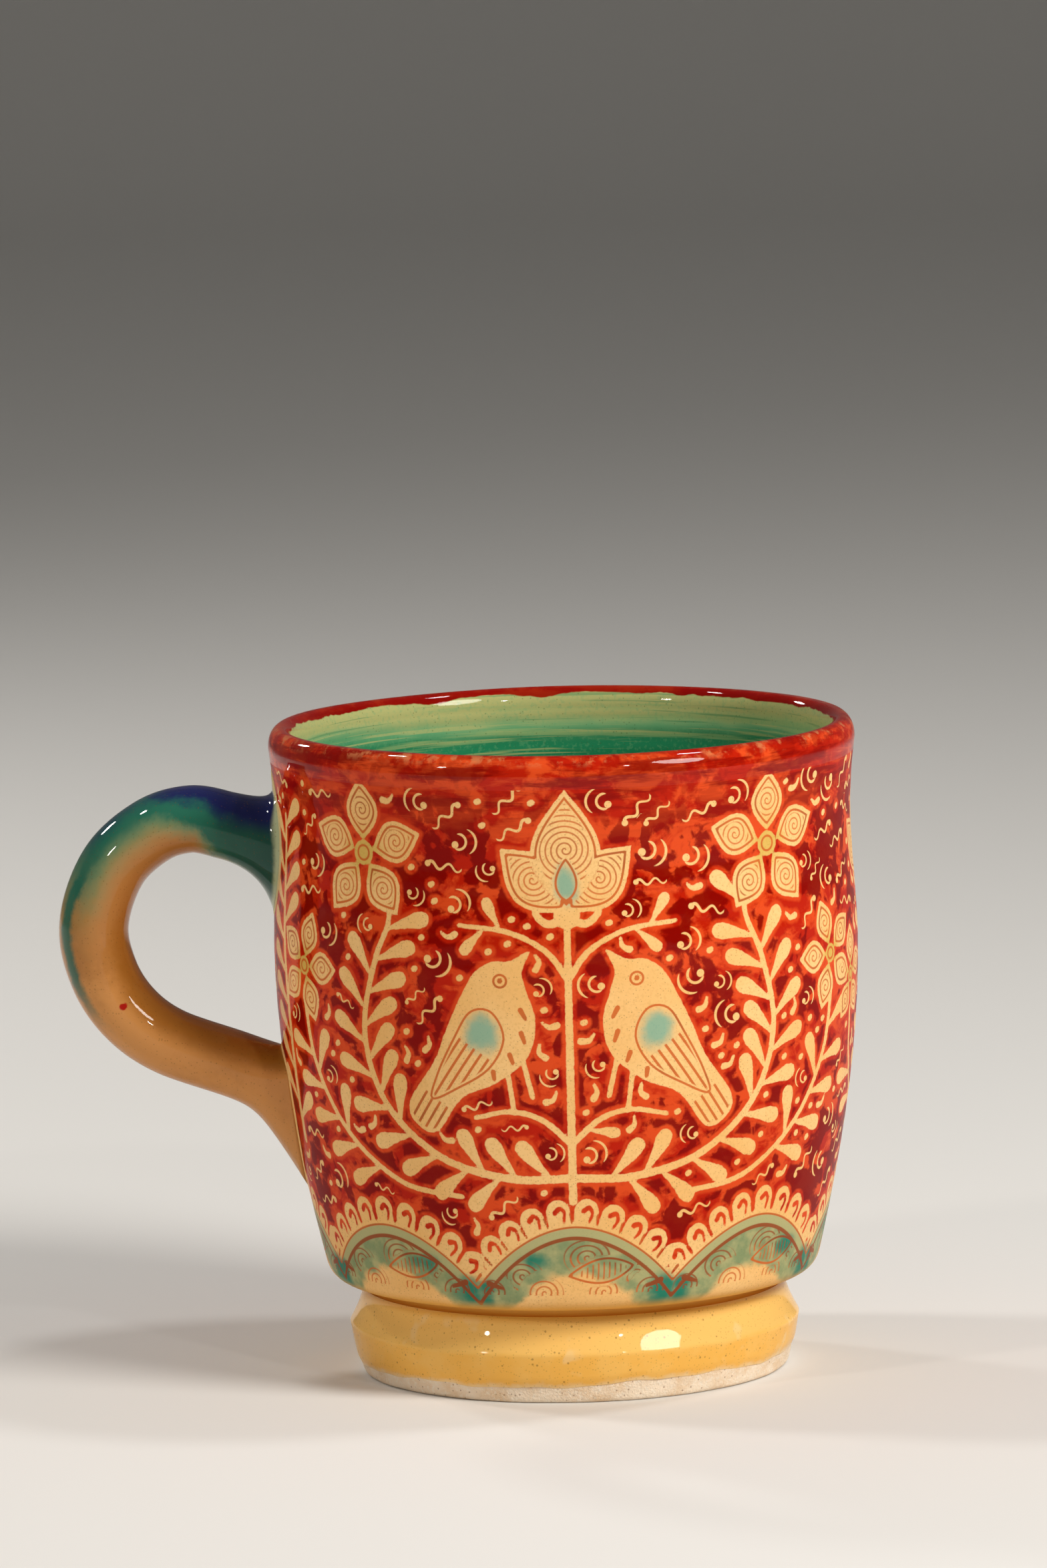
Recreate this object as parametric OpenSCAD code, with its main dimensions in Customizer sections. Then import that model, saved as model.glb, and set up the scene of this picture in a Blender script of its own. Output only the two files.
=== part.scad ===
// Footed clay mug with a looped strap handle, in millimetres.
// The resting plane is z = 0, the cup's axis is Z and the handle points along -X.

/* [Cup] */
// Height of the rim above the resting plane
cup_h = 100; // [85:1:130]
// Outside diameter at the belly
belly_d = 89.5; // [86:0.1:100]
// How far the slight waist under the lip lies inside the belly
waist_inset = 0.75; // [0:0.05:3]
// How far the widest line of the lip stands out from the waist
lip_flare = 0.9; // [0.2:0.05:4]
// How far the wall lies inside the belly where it turns under towards the foot
heel_inset = 6.75; // [3:0.05:8]
// Height of the rounded lip above its widest line
lip_rise = 3.2; // [2:0.1:5]
// Drop from the rim to the waist
waist_drop = 15; // [10:0.5:20]
// Drop from the rim to the belly
belly_drop = 34; // [28:0.5:42]
// Height from the cup's underside to the turn of the heel
heel_rise = 4; // [3:0.1:8]
// Inward run of the rounding under the heel
heel_round = 3.8; // [2:0.1:5]
// Thickness of the glazed wall
wall_t = 4; // [3:0.1:6]
// Thickness of the glazed floor
floor_t = 5.5; // [4:0.1:8]
// Rounding between the inside wall and the floor
floor_round = 12; // [8:0.5:18]

/* [Foot] */
// Height of the foot ring
foot_h = 13.2; // [9:0.1:18]
// How far the foot's widest ridge lies inside the turn of the heel
foot_inset = 3.45; // [1:0.05:6]
// Height of the ridge
foot_ridge_z = 7.7; // [5:0.1:8.5]
// How far the foot's standing edge lies inside the ridge
base_inset = 1.45; // [0:0.05:4]
// How far the foot's top edge lies inside the ridge
top_inset = 2.05; // [0.5:0.05:2.4]
// How far the bottom of the groove between foot and cup lies inside the ridge
neck_inset = 2.75; // [2.5:0.05:5]
// Width of the foot ring from its ridge to the hollow under it
ring_w = 8.55; // [6:0.05:14]
// Bevel on the two standing edges
foot_bevel = 0.8; // [0.3:0.1:1.4]
// Height of the bare clay band at the bottom
bare_h = 1.8; // [1.5:0.1:4]
// Height of the groove over the foot's top edge
groove_h = 1; // [0.5:0.1:1.5]

/* [Handle] */
// Reach of the handle beyond the belly
handle_reach = 32.8; // [28:0.2:40]
// Drop from the rim to the top of the loop
handle_drop = 8.8; // [7:0.2:14]
// Height of the lower arm's centre where it nears the cup
handle_low_z = 47.8; // [42:0.2:54]
// Thickness of the strap in the plane of the loop
strap_t = 10.5; // [8:0.1:12]
// Width of the strap across the loop
strap_w = 14; // [10:0.1:18]
// How far the upper root's centre lies below its arm
upper_root_sag = 2.6; // [1:0.1:5]
// Height of the upper root on the wall
upper_root_h = 21.6; // [14:0.2:22]
// Width of the upper root on the wall
upper_root_w = 17; // [14:0.2:22]
// How far the lower root's centre lies below its arm
lower_root_sag = 1.2; // [0:0.1:3]
// Rise of the lower root above its centre
lower_root_rise = 3.9; // [3:0.1:8]
// Length of the tail that is smeared down the wall
tail_len = 17.6; // [8:0.2:19]
// Width of the lower root on the wall
lower_root_w = 14.6; // [12:0.2:20]

/* [Coats] */
// Thickness of the fired coats
coat_t = 0.4; // [0.2:0.05:0.8]
// Drop from the rim to the lower edge of the rim's coat
band_drop = 5; // [4:0.1:5.5]
// Thickness of the slip between the foot and the cup
slip_t = 0.4; // [0.2:0.05:0.8]
// How far the slip is squeezed out round the joints
slip_margin = 0.9; // [0.4:0.1:1.6]
// Clearance between the handle's ends and their slip
root_gap = 0.1; // [0.05:0.01:0.2]
// How far the slip ring stands out into the groove
slip_bead = 0.3; // [0.1:0.05:0.5]
// Drop from the rim to the line where the rim's coat ends inside
dip_drop = 14; // [8:0.5:20]

/* [Hidden] */
$fn = 96;

// Radii and heights of the main lines of the cup and its foot
belly_r = belly_d / 2;
waist_r = belly_r - waist_inset;
rim_r = waist_r + lip_flare;
heel_r = belly_r - heel_inset;
ridge_r = heel_r - foot_inset;
base_r = ridge_r - base_inset;
top_r = ridge_r - top_inset;
neck_r = ridge_r - neck_inset;
bore_r = ridge_r - ring_w;
rim_z = cup_h - lip_rise;
waist_z = cup_h - waist_drop;
belly_z = cup_h - belly_drop;
base_z = foot_h + slip_t;
heel_z = base_z + heel_rise;
under_z = base_z + groove_h;
floor_z = base_z + floor_t;
band_z = cup_h - band_drop;
dip_z = cup_h - dip_drop;
round_z = floor_z + floor_round;

// Slopes of the wall, in radius per height, at the heel and at the lip
heel_slope_share = 0.24;
rim_slope_share = 0.16;
// Slopes of the foot below and above its ridge and at its top edge, against straight sides
rise_slope_share = 0.7;
fall_slope_share = 1.5;
top_slope_share = 0.2;

// Steps along the curves
wall_step = 2;
arc_steps = 10;
span_steps = 4;
root_steps = 6;
ring_sides = 24;
cap_shares = [0.85, 0.7, 0.5, 0.3, 0.15];

// Centre line of the loop from its upper to its lower root,
// as shares of its reach beyond the belly and of its height
loop_shares = [
    [0.253, 0.971], [0.446, 1], [0.665, 0.958], [0.88, 0.82], [1, 0.585],
    [0.956, 0.381], [0.814, 0.219], [0.588, 0.097], [0.235, 0]
];
// How far the flare of each root follows its arm before it turns along the wall
upper_turn_share = 0.9;
lower_turn_share = 0.72;
// How much closer than a plain bend the outer side of each flare keeps to its corner
upper_pull_share = 0.8;
lower_pull_share = 1.6;

loop_reach = handle_reach - strap_t / 2;
loop_top_z = cup_h - handle_drop - strap_t / 2;
loop_h = loop_top_z - handle_low_z;
loop_points = [for (s = loop_shares) [belly_r + s[0] * loop_reach, handle_low_z + s[1] * loop_h]];
loop_last = len(loop_points) - 1;

// Cubic from a to b with given end slopes, t from 0 to 1
function cubic(a, b, slope_a, slope_b, t) =
    a * (2 * t ^ 3 - 3 * t ^ 2 + 1) + slope_a * (t ^ 3 - 2 * t ^ 2 + t)
    + b * (3 * t ^ 2 - 2 * t ^ 3) + slope_b * (t ^ 3 - t ^ 2);

// Bend from a to c that leaves and arrives along the lines to b, and keeps closer to b with a pull
function bend(a, b, c, t, pull = 0) =
    let (near_a = (1 - t) ^ 2, near_b = 2 * t * (1 - t) * (1 + pull), near_c = t ^ 2)
    (a * near_a + b * near_b + c * near_c) / (near_a + near_b + near_c);

// Smooth curve through a list of points, between point i and the next
function through(p, i, t) =
    let (a = p[max(i - 1, 0)], b = p[i], c = p[i + 1], d = p[min(i + 2, len(p) - 1)])
    (2 * b + (c - a) * t + (2 * a - 5 * b + 4 * c - d) * t ^ 2 + (3 * b - a - 3 * c + d) * t ^ 3) / 2;

function reversed(p) = [for (i = [len(p) - 1:-1:0]) p[i]];
function unit(v) = v / norm(v);

// Finished outside radius of the wall at a height
function wall_r(z) =
    let (low_h = belly_z - heel_z, mid_h = waist_z - belly_z, top_h = rim_z - waist_z)
    z < belly_z ? cubic(heel_r, belly_r, heel_slope_share * low_h, 0, (z - heel_z) / low_h)
    : z < waist_z ? cubic(belly_r, waist_r, 0, 0, (z - belly_z) / mid_h)
    : cubic(waist_r, rim_r, 0, rim_slope_share * top_h, (z - waist_z) / top_h);

// Profile stretches at a depth below the finished surface, from the neck up and into the cup
function heel_curve(depth) =
    let (low_z = under_z + depth, run = heel_slope_share * (heel_z - low_z))
    let (turn_r = max(neck_r + slip_bead, heel_r - heel_round))
    let (corner_r = max(turn_r, heel_r - depth - run))
    concat(
        [[neck_r, low_z]],
        [for (i = [0:arc_steps - 1])
            bend([turn_r, low_z], [corner_r, low_z], [heel_r - depth, heel_z], i / arc_steps)]);
function heights(from_z, to_z) =
    let (steps = ceil(abs(to_z - from_z) / wall_step))
    [for (i = [0:steps]) from_z + (to_z - from_z) * i / steps];
function wall_curve(depth, from_z, to_z) = [for (z = heights(from_z, to_z)) [wall_r(z) - depth, z]];
function lip_curve(depth) =
    [for (i = [1:2 * arc_steps - 1]) let (a = 90 * i / arc_steps)
        [rim_r - wall_t / 2 + (wall_t / 2 - depth) * cos(a), rim_z + (lip_rise - depth) * sin(a)]];
function inside_curve(depth, from_z, to_z) =
    [for (z = heights(from_z, to_z)) [wall_r(z) - wall_t + depth, z]];
function floor_curve(depth) =
    let (r = wall_r(round_z) - wall_t + depth, low_z = floor_z - depth)
    concat(
        [for (i = [1:arc_steps])
            bend([r, round_z], [r - heel_slope_share * floor_round, low_z], [r - floor_round, low_z],
                i / arc_steps)],
        [[0, low_z]]);

function outside_path(depth) = concat(heel_curve(depth), wall_curve(depth, heel_z, band_z));
function rim_path(depth) =
    concat(wall_curve(depth, band_z, rim_z), lip_curve(depth), inside_curve(depth, rim_z, dip_z));
function inside_path(depth) = concat(inside_curve(depth, dip_z, round_z), floor_curve(depth));

// Finished outside radius of the foot at a height, below and above its ridge
function foot_r(z) =
    let (rise = ridge_r - base_r, fall = top_r - ridge_r, t = (z - foot_ridge_z) / (foot_h - foot_ridge_z))
    z < foot_ridge_z ? cubic(base_r, ridge_r, rise, rise_slope_share * rise, z / foot_ridge_z)
    : cubic(ridge_r, top_r, fall_slope_share * fall, top_slope_share * fall, t);
function foot_side(depth, from_z, to_z) =
    [for (i = [0:arc_steps]) let (z = from_z + (to_z - from_z) * i / arc_steps) [foot_r(z) - depth, z]];
function foot_curve(depth, from_z) =
    concat(foot_side(depth, from_z, foot_ridge_z), foot_side(depth, foot_ridge_z, foot_h));

// Outline of a handle root on the wall: a is the angle round the strap, 90 on its outer side
function upper_root(a, inset) =
    let (half_h = upper_root_h / 2 - inset, half_w = upper_root_w / 2 - inset)
    [half_w * cos(a), loop_points[0][1] - upper_root_sag + half_h * sin(a)];
function lower_root(a, inset) =
    let (reach = sin(a) > 0 ? tail_len - inset : lower_root_rise - inset)
    [(lower_root_w / 2 - inset) * cos(a), handle_low_z - lower_root_sag - reach * sin(a)];
function on_wall(p) = [-root_gap - sqrt(wall_r(p[1]) ^ 2 - p[0] ^ 2), p[0], p[1]];
function angles() = [for (k = [0:ring_sides - 1]) 360 * k / ring_sides];

// Rings of the strap between the roots
loop = concat(
    [for (i = [0:loop_last - 1]) for (j = [0:span_steps - 1]) through(loop_points, i, j / span_steps)],
    [loop_points[loop_last]]);
loop_end = len(loop) - 1;
function heading(i) = unit(loop[min(i + 1, loop_end)] - loop[max(i - 1, 0)]);
function strap_point(i, a, inset) =
    let (d = heading(i), lift = (strap_t / 2 - inset) * sin(a))
    [-loop[i][0] + d[1] * lift, (strap_w / 2 - inset) * cos(a), loop[i][1] + d[0] * lift];

// Rings of a root's flare, t from 0 at the strap to 1 on the wall
function flare_point(i, a, inset, way, turn, pull, foot, t) =
    let (p = strap_point(i, a, inset), d = heading(i) * way)
    let (run = (loop[i][0] - wall_r(loop[i][1])) * turn)
    bend(p, p + [-d[0] * run, 0, d[1] * run], foot, t, pull * max(0, sin(a)));
function upper_ring(inset, t) =
    [for (a = angles())
        let (foot = on_wall(upper_root(a, inset)))
        flare_point(0, a, inset, -1, upper_turn_share, upper_pull_share, foot, t)];
function lower_ring(inset, t) =
    [for (a = angles())
        let (foot = on_wall(lower_root(a, inset)))
        flare_point(loop_end, a, inset, 1, lower_turn_share, lower_pull_share, foot, t)];

// The whole tube as a list of rings from the upper to the lower root
function tube_rings(inset) = concat(
    [for (j = [0:root_steps - 1]) upper_ring(inset, 1 - j / root_steps)],
    [for (i = [0:loop_end]) [for (a = angles()) strap_point(i, a, inset)]],
    [for (j = [1:root_steps]) lower_ring(inset, j / root_steps)]);
tube_count = 2 * root_steps + loop_end + 1;

// Rings that close a root on the wall, each a smaller copy of its outline
function shrunk(p, centre, share) = centre + (p - centre) * share;
function upper_cap(inset) = [for (s = cap_shares) [for (a = angles())
    on_wall(shrunk(upper_root(a, inset), [0, upper_root(0, inset)[1]], s))]];
function lower_cap(inset) = [for (s = cap_shares) [for (a = angles())
    on_wall(shrunk(lower_root(a, inset), [0, lower_root(0, inset)[1]], s))]];

// Triangles between two rings that start at points m and n
function band(m, n) = [for (k = [0:ring_sides - 1]) let (next = (k + 1) % ring_sides)
    each [[m + k, n + k, m + next], [m + next, n + k, n + next]]];
function fan(m, tip) = [for (k = [0:ring_sides - 1]) [m + k, m + (k + 1) % ring_sides, tip]];
function flipped(faces) = [for (f = faces) [f[0], f[2], f[1]]];
function bands(first, count) =
    [for (i = [0:count - 2]) each band((first + i) * ring_sides, (first + i + 1) * ring_sides)];
function flat_list(rings) = [for (r = rings) each r];

// Solid tube that ends on the wall at both roots
module strap_core() {
    caps = len(cap_shares);
    rings = concat(reversed(upper_cap(coat_t)), tube_rings(coat_t), lower_cap(coat_t));
    count = tube_count + 2 * caps;
    tips = [on_wall([0, upper_root(0, coat_t)[1]]), on_wall([0, lower_root(0, coat_t)[1]])];
    polyhedron(
        concat(flat_list(rings), tips),
        concat(
            bands(0, count),
            fan(0, count * ring_sides),
            flipped(fan((count - 1) * ring_sides, count * ring_sides + 1))));
}

// Sleeve round that tube, open at both roots
module strap_sleeve() {
    inner = tube_count * ring_sides;
    last = (tube_count - 1) * ring_sides;
    polyhedron(
        concat(flat_list(tube_rings(0)), flat_list(tube_rings(coat_t))),
        concat(
            bands(0, tube_count),
            flipped(bands(tube_count, tube_count)),
            flipped(band(0, inner)),
            band(last, inner + last)));
}

// Straight plug along -X with the outline of a root and its squeezed-out slip
module upper_plug() {
    rotate([90, 0, -90]) linear_extrude(belly_d)
        polygon([for (a = angles()) upper_root(a, -slip_margin)]);
}
module lower_plug() {
    rotate([90, 0, -90]) linear_extrude(belly_d)
        polygon([for (a = angles()) lower_root(a, -slip_margin)]);
}

// Shell of the outside as deep as its coat
module outer_shell() {
    rotate_extrude() polygon(concat(outside_path(0), reversed(outside_path(coat_t))));
}

// Thrown cup: floor, wall and rounded lip in bare clay
module cup_body() {
    color("tan") rotate_extrude() polygon(concat(
        [[0, base_z], [neck_r, base_z]],
        outside_path(coat_t),
        rim_path(coat_t),
        inside_path(coat_t)));
}

// Thrown ring that the cup stands on, hollow underneath
module foot_ring() {
    stand_r = base_r - coat_t - foot_bevel;
    color("burlywood") rotate_extrude() polygon(concat(
        [[bore_r, foot_bevel], [bore_r + foot_bevel, 0], [stand_r, 0]],
        foot_curve(coat_t, foot_bevel),
        [[bore_r, foot_h]]));
}

// Slip that bonds the foot to the cup, with a small bead in the groove
module foot_slip_ring() {
    color("peru") rotate_extrude() polygon([
        [bore_r + slip_margin, foot_h],
        [neck_r + slip_bead, foot_h],
        [neck_r, base_z],
        [bore_r + slip_margin, base_z]]);
}

// Pulled strap, flared at both roots, with its tail smeared down the wall
module handle() {
    color("wheat") strap_core();
}

// Slip between the handle's roots and the wall
module upper_slip_pad() {
    color("blanchedalmond") intersection() {
        outer_shell();
        upper_plug();
    }
}
module lower_slip_pad() {
    color("blanchedalmond") intersection() {
        outer_shell();
        lower_plug();
    }
}

// Painted coat of the outside, up to the rim's band
module outer_coat() {
    color("firebrick") difference() {
        outer_shell();
        upper_plug();
        lower_plug();
    }
}

// Red coat over the lip, down to a line inside
module rim_coat() {
    color("brown") rotate_extrude() polygon(concat(rim_path(0), reversed(rim_path(coat_t))));
}

// Green coat of the inside
module inner_coat() {
    color("seagreen") rotate_extrude() polygon(concat(inside_path(0), reversed(inside_path(coat_t))));
}

// Amber coat of the foot above its bare band
module foot_coat() {
    color("darkgoldenrod") rotate_extrude() polygon(concat(
        foot_curve(0, bare_h), reversed(foot_curve(coat_t, bare_h))));
}

// Washed coat of the handle
module handle_coat() {
    color("cadetblue") strap_sleeve();
}

cup_body();
foot_ring();
foot_slip_ring();
handle();
upper_slip_pad();
lower_slip_pad();
outer_coat();
rim_coat();
inner_coat();
foot_coat();
handle_coat();
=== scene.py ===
import math

import bpy
import numpy as np
from mathutils import Matrix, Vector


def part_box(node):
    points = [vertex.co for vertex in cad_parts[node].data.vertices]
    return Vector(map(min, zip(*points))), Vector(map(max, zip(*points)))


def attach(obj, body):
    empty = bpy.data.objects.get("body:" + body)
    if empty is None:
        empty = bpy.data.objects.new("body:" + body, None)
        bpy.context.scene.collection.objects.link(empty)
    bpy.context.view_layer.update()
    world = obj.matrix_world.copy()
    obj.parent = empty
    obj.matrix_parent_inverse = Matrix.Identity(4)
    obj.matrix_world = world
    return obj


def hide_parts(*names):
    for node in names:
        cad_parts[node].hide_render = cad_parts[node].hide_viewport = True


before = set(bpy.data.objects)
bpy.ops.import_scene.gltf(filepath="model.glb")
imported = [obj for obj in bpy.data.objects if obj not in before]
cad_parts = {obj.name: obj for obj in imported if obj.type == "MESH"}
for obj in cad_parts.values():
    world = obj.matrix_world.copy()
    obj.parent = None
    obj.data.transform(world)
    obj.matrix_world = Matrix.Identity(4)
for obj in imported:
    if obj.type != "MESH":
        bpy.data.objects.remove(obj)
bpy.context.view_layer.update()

mm = 0.001
scene = bpy.context.scene
scene.view_settings.view_transform = "Standard"


def nodeBox(name):  # lowest and highest corner of a CAD node, in mm
    return [np.array(corner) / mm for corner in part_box(name)]


wallLow, wallHigh = nodeBox("outer_coat")
innerLow, innerHigh = nodeBox("inner_coat")
rimHigh, footHigh, ringHigh = (nodeBox(name)[1] for name in ("rim_coat", "foot_coat", "foot_ring"))

# main lines of the thrown form, in mm: most come from the frame, the rest as the part's source has them
cup = {
    "crestZ": rimHigh[2], "bandZ": wallHigh[2], "dipZ": innerHigh[2], "underZ": wallLow[2],
    "floorZ": innerLow[2] + 0.4, "footZ": ringHigh[2],  # the coat on the floor is 0.4 thick
    "bellyR": wallHigh[1], "rimR": rimHigh[1], "ridgeR": footHigh[1],
    "waistInset": 0.75, "heelInset": 6.75, "heelRound": 3.8,
    "lipRise": 3.2, "waistDrop": 15.0, "bellyDrop": 34.0, "heelZ": 17.6,
    "wallT": 4.0, "floorRound": 12.0, "coatT": 0.38,
    "ridgeZ": 7.7, "baseInset": 1.45, "topInset": 2.05, "neckInset": 2.75,
    "heelSlope": 0.24, "lipSlope": 0.16,
    "wobble": 0.13, "ripple": 0.012,  # hand-made unevenness of the radius, and throwing lines
}
rimZ, heelR = cup["crestZ"] - cup["lipRise"], cup["bellyR"] - cup["heelInset"]
neckR, topR = cup["ridgeR"] - cup["neckInset"], cup["ridgeR"] - cup["topInset"]


def cubic(a, b, slopeA, slopeB, t):  # curve from a to b with given end slopes
    return (a * (2 * t**3 - 3 * t**2 + 1) + slopeA * (t**3 - 2 * t**2 + t)
            + b * (3 * t**2 - 2 * t**3) + slopeB * (t**3 - t**2))


def bend(a, b, c, t):  # quadratic bend from a to c towards b
    a, b, c = np.array(a, float), np.array(b, float), np.array(c, float)
    t = np.asarray(t)[:, None]
    return a * (1 - t) ** 2 + b * 2 * t * (1 - t) + c * t**2


def smoothStep(low, high, x):
    t = np.clip((x - low) / (high - low), 0, 1)
    return t * t * (3 - 2 * t)


def roundAngles(count):
    return np.linspace(0, 2 * math.pi, count, endpoint=False)


def pair(x, y):  # points from their two coordinates
    return np.stack(np.broadcast_arrays(x, y), -1)


def runAlong(path):  # length along a path, or along each column of a grid, up to each of its points
    legs = np.linalg.norm(np.diff(path, axis=0), axis=-1)
    return np.concatenate([0 * legs[:1], np.cumsum(legs, 0)])


def wallRadius(z):  # three cubics: heel out to belly, in to waist, out to lip
    z = np.asarray(z, float)
    waistZ, bellyZ = cup["crestZ"] - cup["waistDrop"], cup["crestZ"] - cup["bellyDrop"]
    bellyR, waistR = cup["bellyR"], cup["bellyR"] - cup["waistInset"]
    low, mid, top = bellyZ - cup["heelZ"], waistZ - bellyZ, rimZ - waistZ
    return np.where(
        z < bellyZ, cubic(heelR, bellyR, cup["heelSlope"] * low, 0, (z - cup["heelZ"]) / low),
        np.where(z < waistZ, cubic(bellyR, waistR, 0, 0, (z - bellyZ) / mid),
                 cubic(waistR, cup["rimR"], 0, cup["lipSlope"] * top, (z - waistZ) / top)))


def wallSkin(z, depth=0.0):  # the wall's profile at some heights, moved in by a depth
    return pair(wallRadius(z) - depth, z)


def handWobble(theta, z):  # two and three lobes that turn with height and grow to the rim, plus fine rings
    grow = cup["wobble"] * (0.25 + 0.75 * np.clip(z / cup["crestZ"], 0, 1))
    lobes = 0.6 * np.cos(2 * theta + 0.8 + 0.008 * z) + 0.4 * np.cos(3 * theta - 1.1 - 0.013 * z)
    return grow * lobes + cup["ripple"] * np.sin(z * 1.35 + 0.6 * np.sin(theta)) * smoothStep(18, 30, z)


def revolved(profile, theta):  # profile (r, z), which may change round the axis, with the hand's wobble
    profile = profile if profile.ndim == 3 else profile[:, None]
    z = profile[..., 1]
    r = profile[..., 0] + handWobble(theta, z)
    return np.stack(np.broadcast_arrays(r * np.cos(theta), r * np.sin(theta), z), -1)


def corners(grid):  # the four corners of each cell of a grid, in order round it
    return np.stack([grid[:-1, :-1], grid[:-1, 1:], grid[1:, 1:], grid[1:, :-1]], 2)


def gridMesh(name, points, loop=False, poles=(), halves=False, sharpRows=(), **layers):
    # surface through a grid of points (rows, columns, xyz) in mm, closed round the columns;
    # loop closes the rows too, poles close the first and last row with a point each,
    # halves leaves the columns open and closes their two ends with a face each,
    # and the layers become attributes of the points
    rows, cols = points.shape[:2]
    index = np.arange(rows * cols).reshape(rows, cols)
    ring = index if halves else np.append(index, index[:, :1], 1)
    body = np.append(ring, ring[:1], 0) if loop else ring
    verts, quads = points.reshape(-1, 3), corners(body).reshape(-1, 4)
    faces, triangles = quads.tolist(), [quads[:, :3], quads[:, [0, 2, 3]]]
    v = runAlong(np.append(points, points[:1], 0)).mean(1)
    v = 0.01 + 0.98 * v / v[-1 if loop else -2]
    u = np.linspace(0.0, 0.96 if halves else 1.0, ring.shape[1])
    uvs = [corners(np.stack(np.meshgrid(u, v[:len(body)]), -1)).reshape(-1, 2)]
    for end, pole in enumerate(poles):  # fan of triangles from the first or the last row
        rim, across = (ring[-1], u) if end else (ring[0, ::-1], u[::-1])
        fan = np.stack([rim[:-1], rim[1:], np.full(cols, len(verts))], -1)
        level, mid = np.full(cols, v[-2 if end else 0]), (across[:-1] + across[1:]) / 2
        uvs.append(np.stack([across[:-1], level, across[1:], level, mid, 0 * mid + end], -1).reshape(-1, 2))
        verts = np.append(verts, [pole], 0)
        triangles.append(fan)
        faces += fan.tolist()
    if halves:
        faces += [index[:, 0].tolist(), index[::-1, -1].tolist()]
        deep, high = np.linalg.norm(points[:, 0, :2], axis=-1), points[:, 0, 2] / points[..., 2].max()
        strip = pair(0.005 * (deep - deep.min()) / np.ptp(deep), 0.01 + 0.98 * high)
        uvs += [strip + [0.97, 0], strip[::-1] + [0.985, 0]]
    mesh = bpy.data.meshes.new(name)
    mesh.from_pydata((verts * mm).tolist(), [], faces)
    mesh.uv_layers.new(name="OFBake").data.foreach_set("uv", np.concatenate(uvs).astype(np.float32).ravel())
    a, b, c = verts[np.concatenate(triangles)].transpose(1, 0, 2)
    if (a * np.cross(b, c)).sum() < 0:  # a negative volume is inside out
        mesh.flip_normals()
    mesh.shade_smooth()
    if halves:
        mesh.polygons[-1].use_smooth = mesh.polygons[-2].use_smooth = False
    if sharpRows:
        pairs = np.zeros(len(mesh.edges) * 2, np.int32)
        mesh.edges.foreach_get("vertices", pairs)
        rowOf = pairs.reshape(-1, 2) // cols
        sharp = (rowOf[:, 0] == rowOf[:, 1]) & np.isin(rowOf[:, 0], sharpRows)
        mesh.attributes.new("sharp_edge", "BOOLEAN", "EDGE").data.foreach_set("value", sharp)
    for key, values in layers.items():
        flat = values.reshape(rows * cols, -1)
        flat = np.append(flat, flat[[0, -1]], 0) if poles else flat
        kind, field = ("FLOAT_VECTOR", "vector") if flat.shape[1] == 3 else ("FLOAT", "value")
        mesh.attributes.new(key, kind, "POINT").data.foreach_set(field, flat.astype(np.float32).ravel())
    piece = bpy.data.objects.new(name, mesh)
    scene.collection.objects.link(piece)
    return piece


def settle(piece, node, material):
    piece.data.materials.append(material)
    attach(piece, "root")
    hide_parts(node)
    print("made", piece.name, len(piece.data.polygons), "faces")


# shader helpers: they add to the tree in work, and a plain number or colour stays on the node's own socket
work = {"tree": None}


class Wire:  # a node's output, so that masks and heights can be written as formulas
    def __init__(self, socket):
        self.socket = socket

    __add__ = lambda a, b: calc("ADD", a, b)
    __sub__ = lambda a, b: calc("SUBTRACT", a, b)
    __mul__ = lambda a, b: calc("MULTIPLY", a, b)
    __truediv__ = lambda a, b: calc("DIVIDE", a, b)
    __abs__ = lambda a: calc("ABSOLUTE", a)


def node(kind, values, **settings):
    made = work["tree"].nodes.new("ShaderNode" + kind)
    for key, value in settings.items():
        setattr(made, key, value)
    for key, value in values.items():
        if isinstance(value, Wire):
            work["tree"].links.new(value.socket, made.inputs[key])
        else:
            made.inputs[key].default_value = value
    return made.outputs


def wire(output, kind, values={}, **settings):
    return Wire(node(kind, values, **settings)[output])


def calc(operation, *values):
    return wire(0, "Math", dict(enumerate(values)), operation=operation)


def vectorCalc(operation, *values):
    output = "Vector" if operation in ("MULTIPLY", "SUBTRACT") else "Value"
    return wire(output, "VectorMath", dict(enumerate(values)), operation=operation)


def parts(vector):  # x, y and z of a vector
    return [Wire(out) for out in node("SeparateXYZ", {0: vector})]


def attribute(name, output="Fac"):
    return wire(output, "Attribute", attribute_name=name)


def place():  # in metres, on the piece's own axes
    return wire("Object", "TexCoord")


def heightOf():  # z in mm
    return parts(place())[2] * (1 / mm)


def step(value, low, high):  # soft step from 0 at low to 1 at high
    ends = (low, high, 0, 1) if low < high else (high, low, 1, 0)
    return wire("Result", "MapRange", dict(enumerate((value, *ends))), interpolation_type="SMOOTHSTEP")


def line(off, half, soft):  # line of a half width about the zero of a distance
    return step(off, half + soft, half - soft)


def either(first, *masks):  # the largest of some masks
    return calc("MAXIMUM", first, either(*masks)) if masks else first


def mixed(tone, colour, mask, share=1):  # from a tone towards a colour, by a share of a mask
    tone, colour = ((*x, 1) if isinstance(x, tuple) else x for x in (tone, colour))
    return wire(2, "Mix", {0: mask if share == 1 else mask * share, 6: tone, 7: colour},
                data_type="RGBA", clamp_factor=True)


def noise(scale, detail=3.0, rough=0.55, distortion=0.0, flat=1):  # scale per metre, flattened flat times
    at = place() if flat == 1 else wire(0, "Mapping", {"Vector": place(), "Scale": (1, 1, flat)})
    return wire("Fac", "TexNoise", {"Vector": at, "Scale": scale, "Detail": detail, "Roughness": rough,
                                    "Distortion": distortion})


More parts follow.
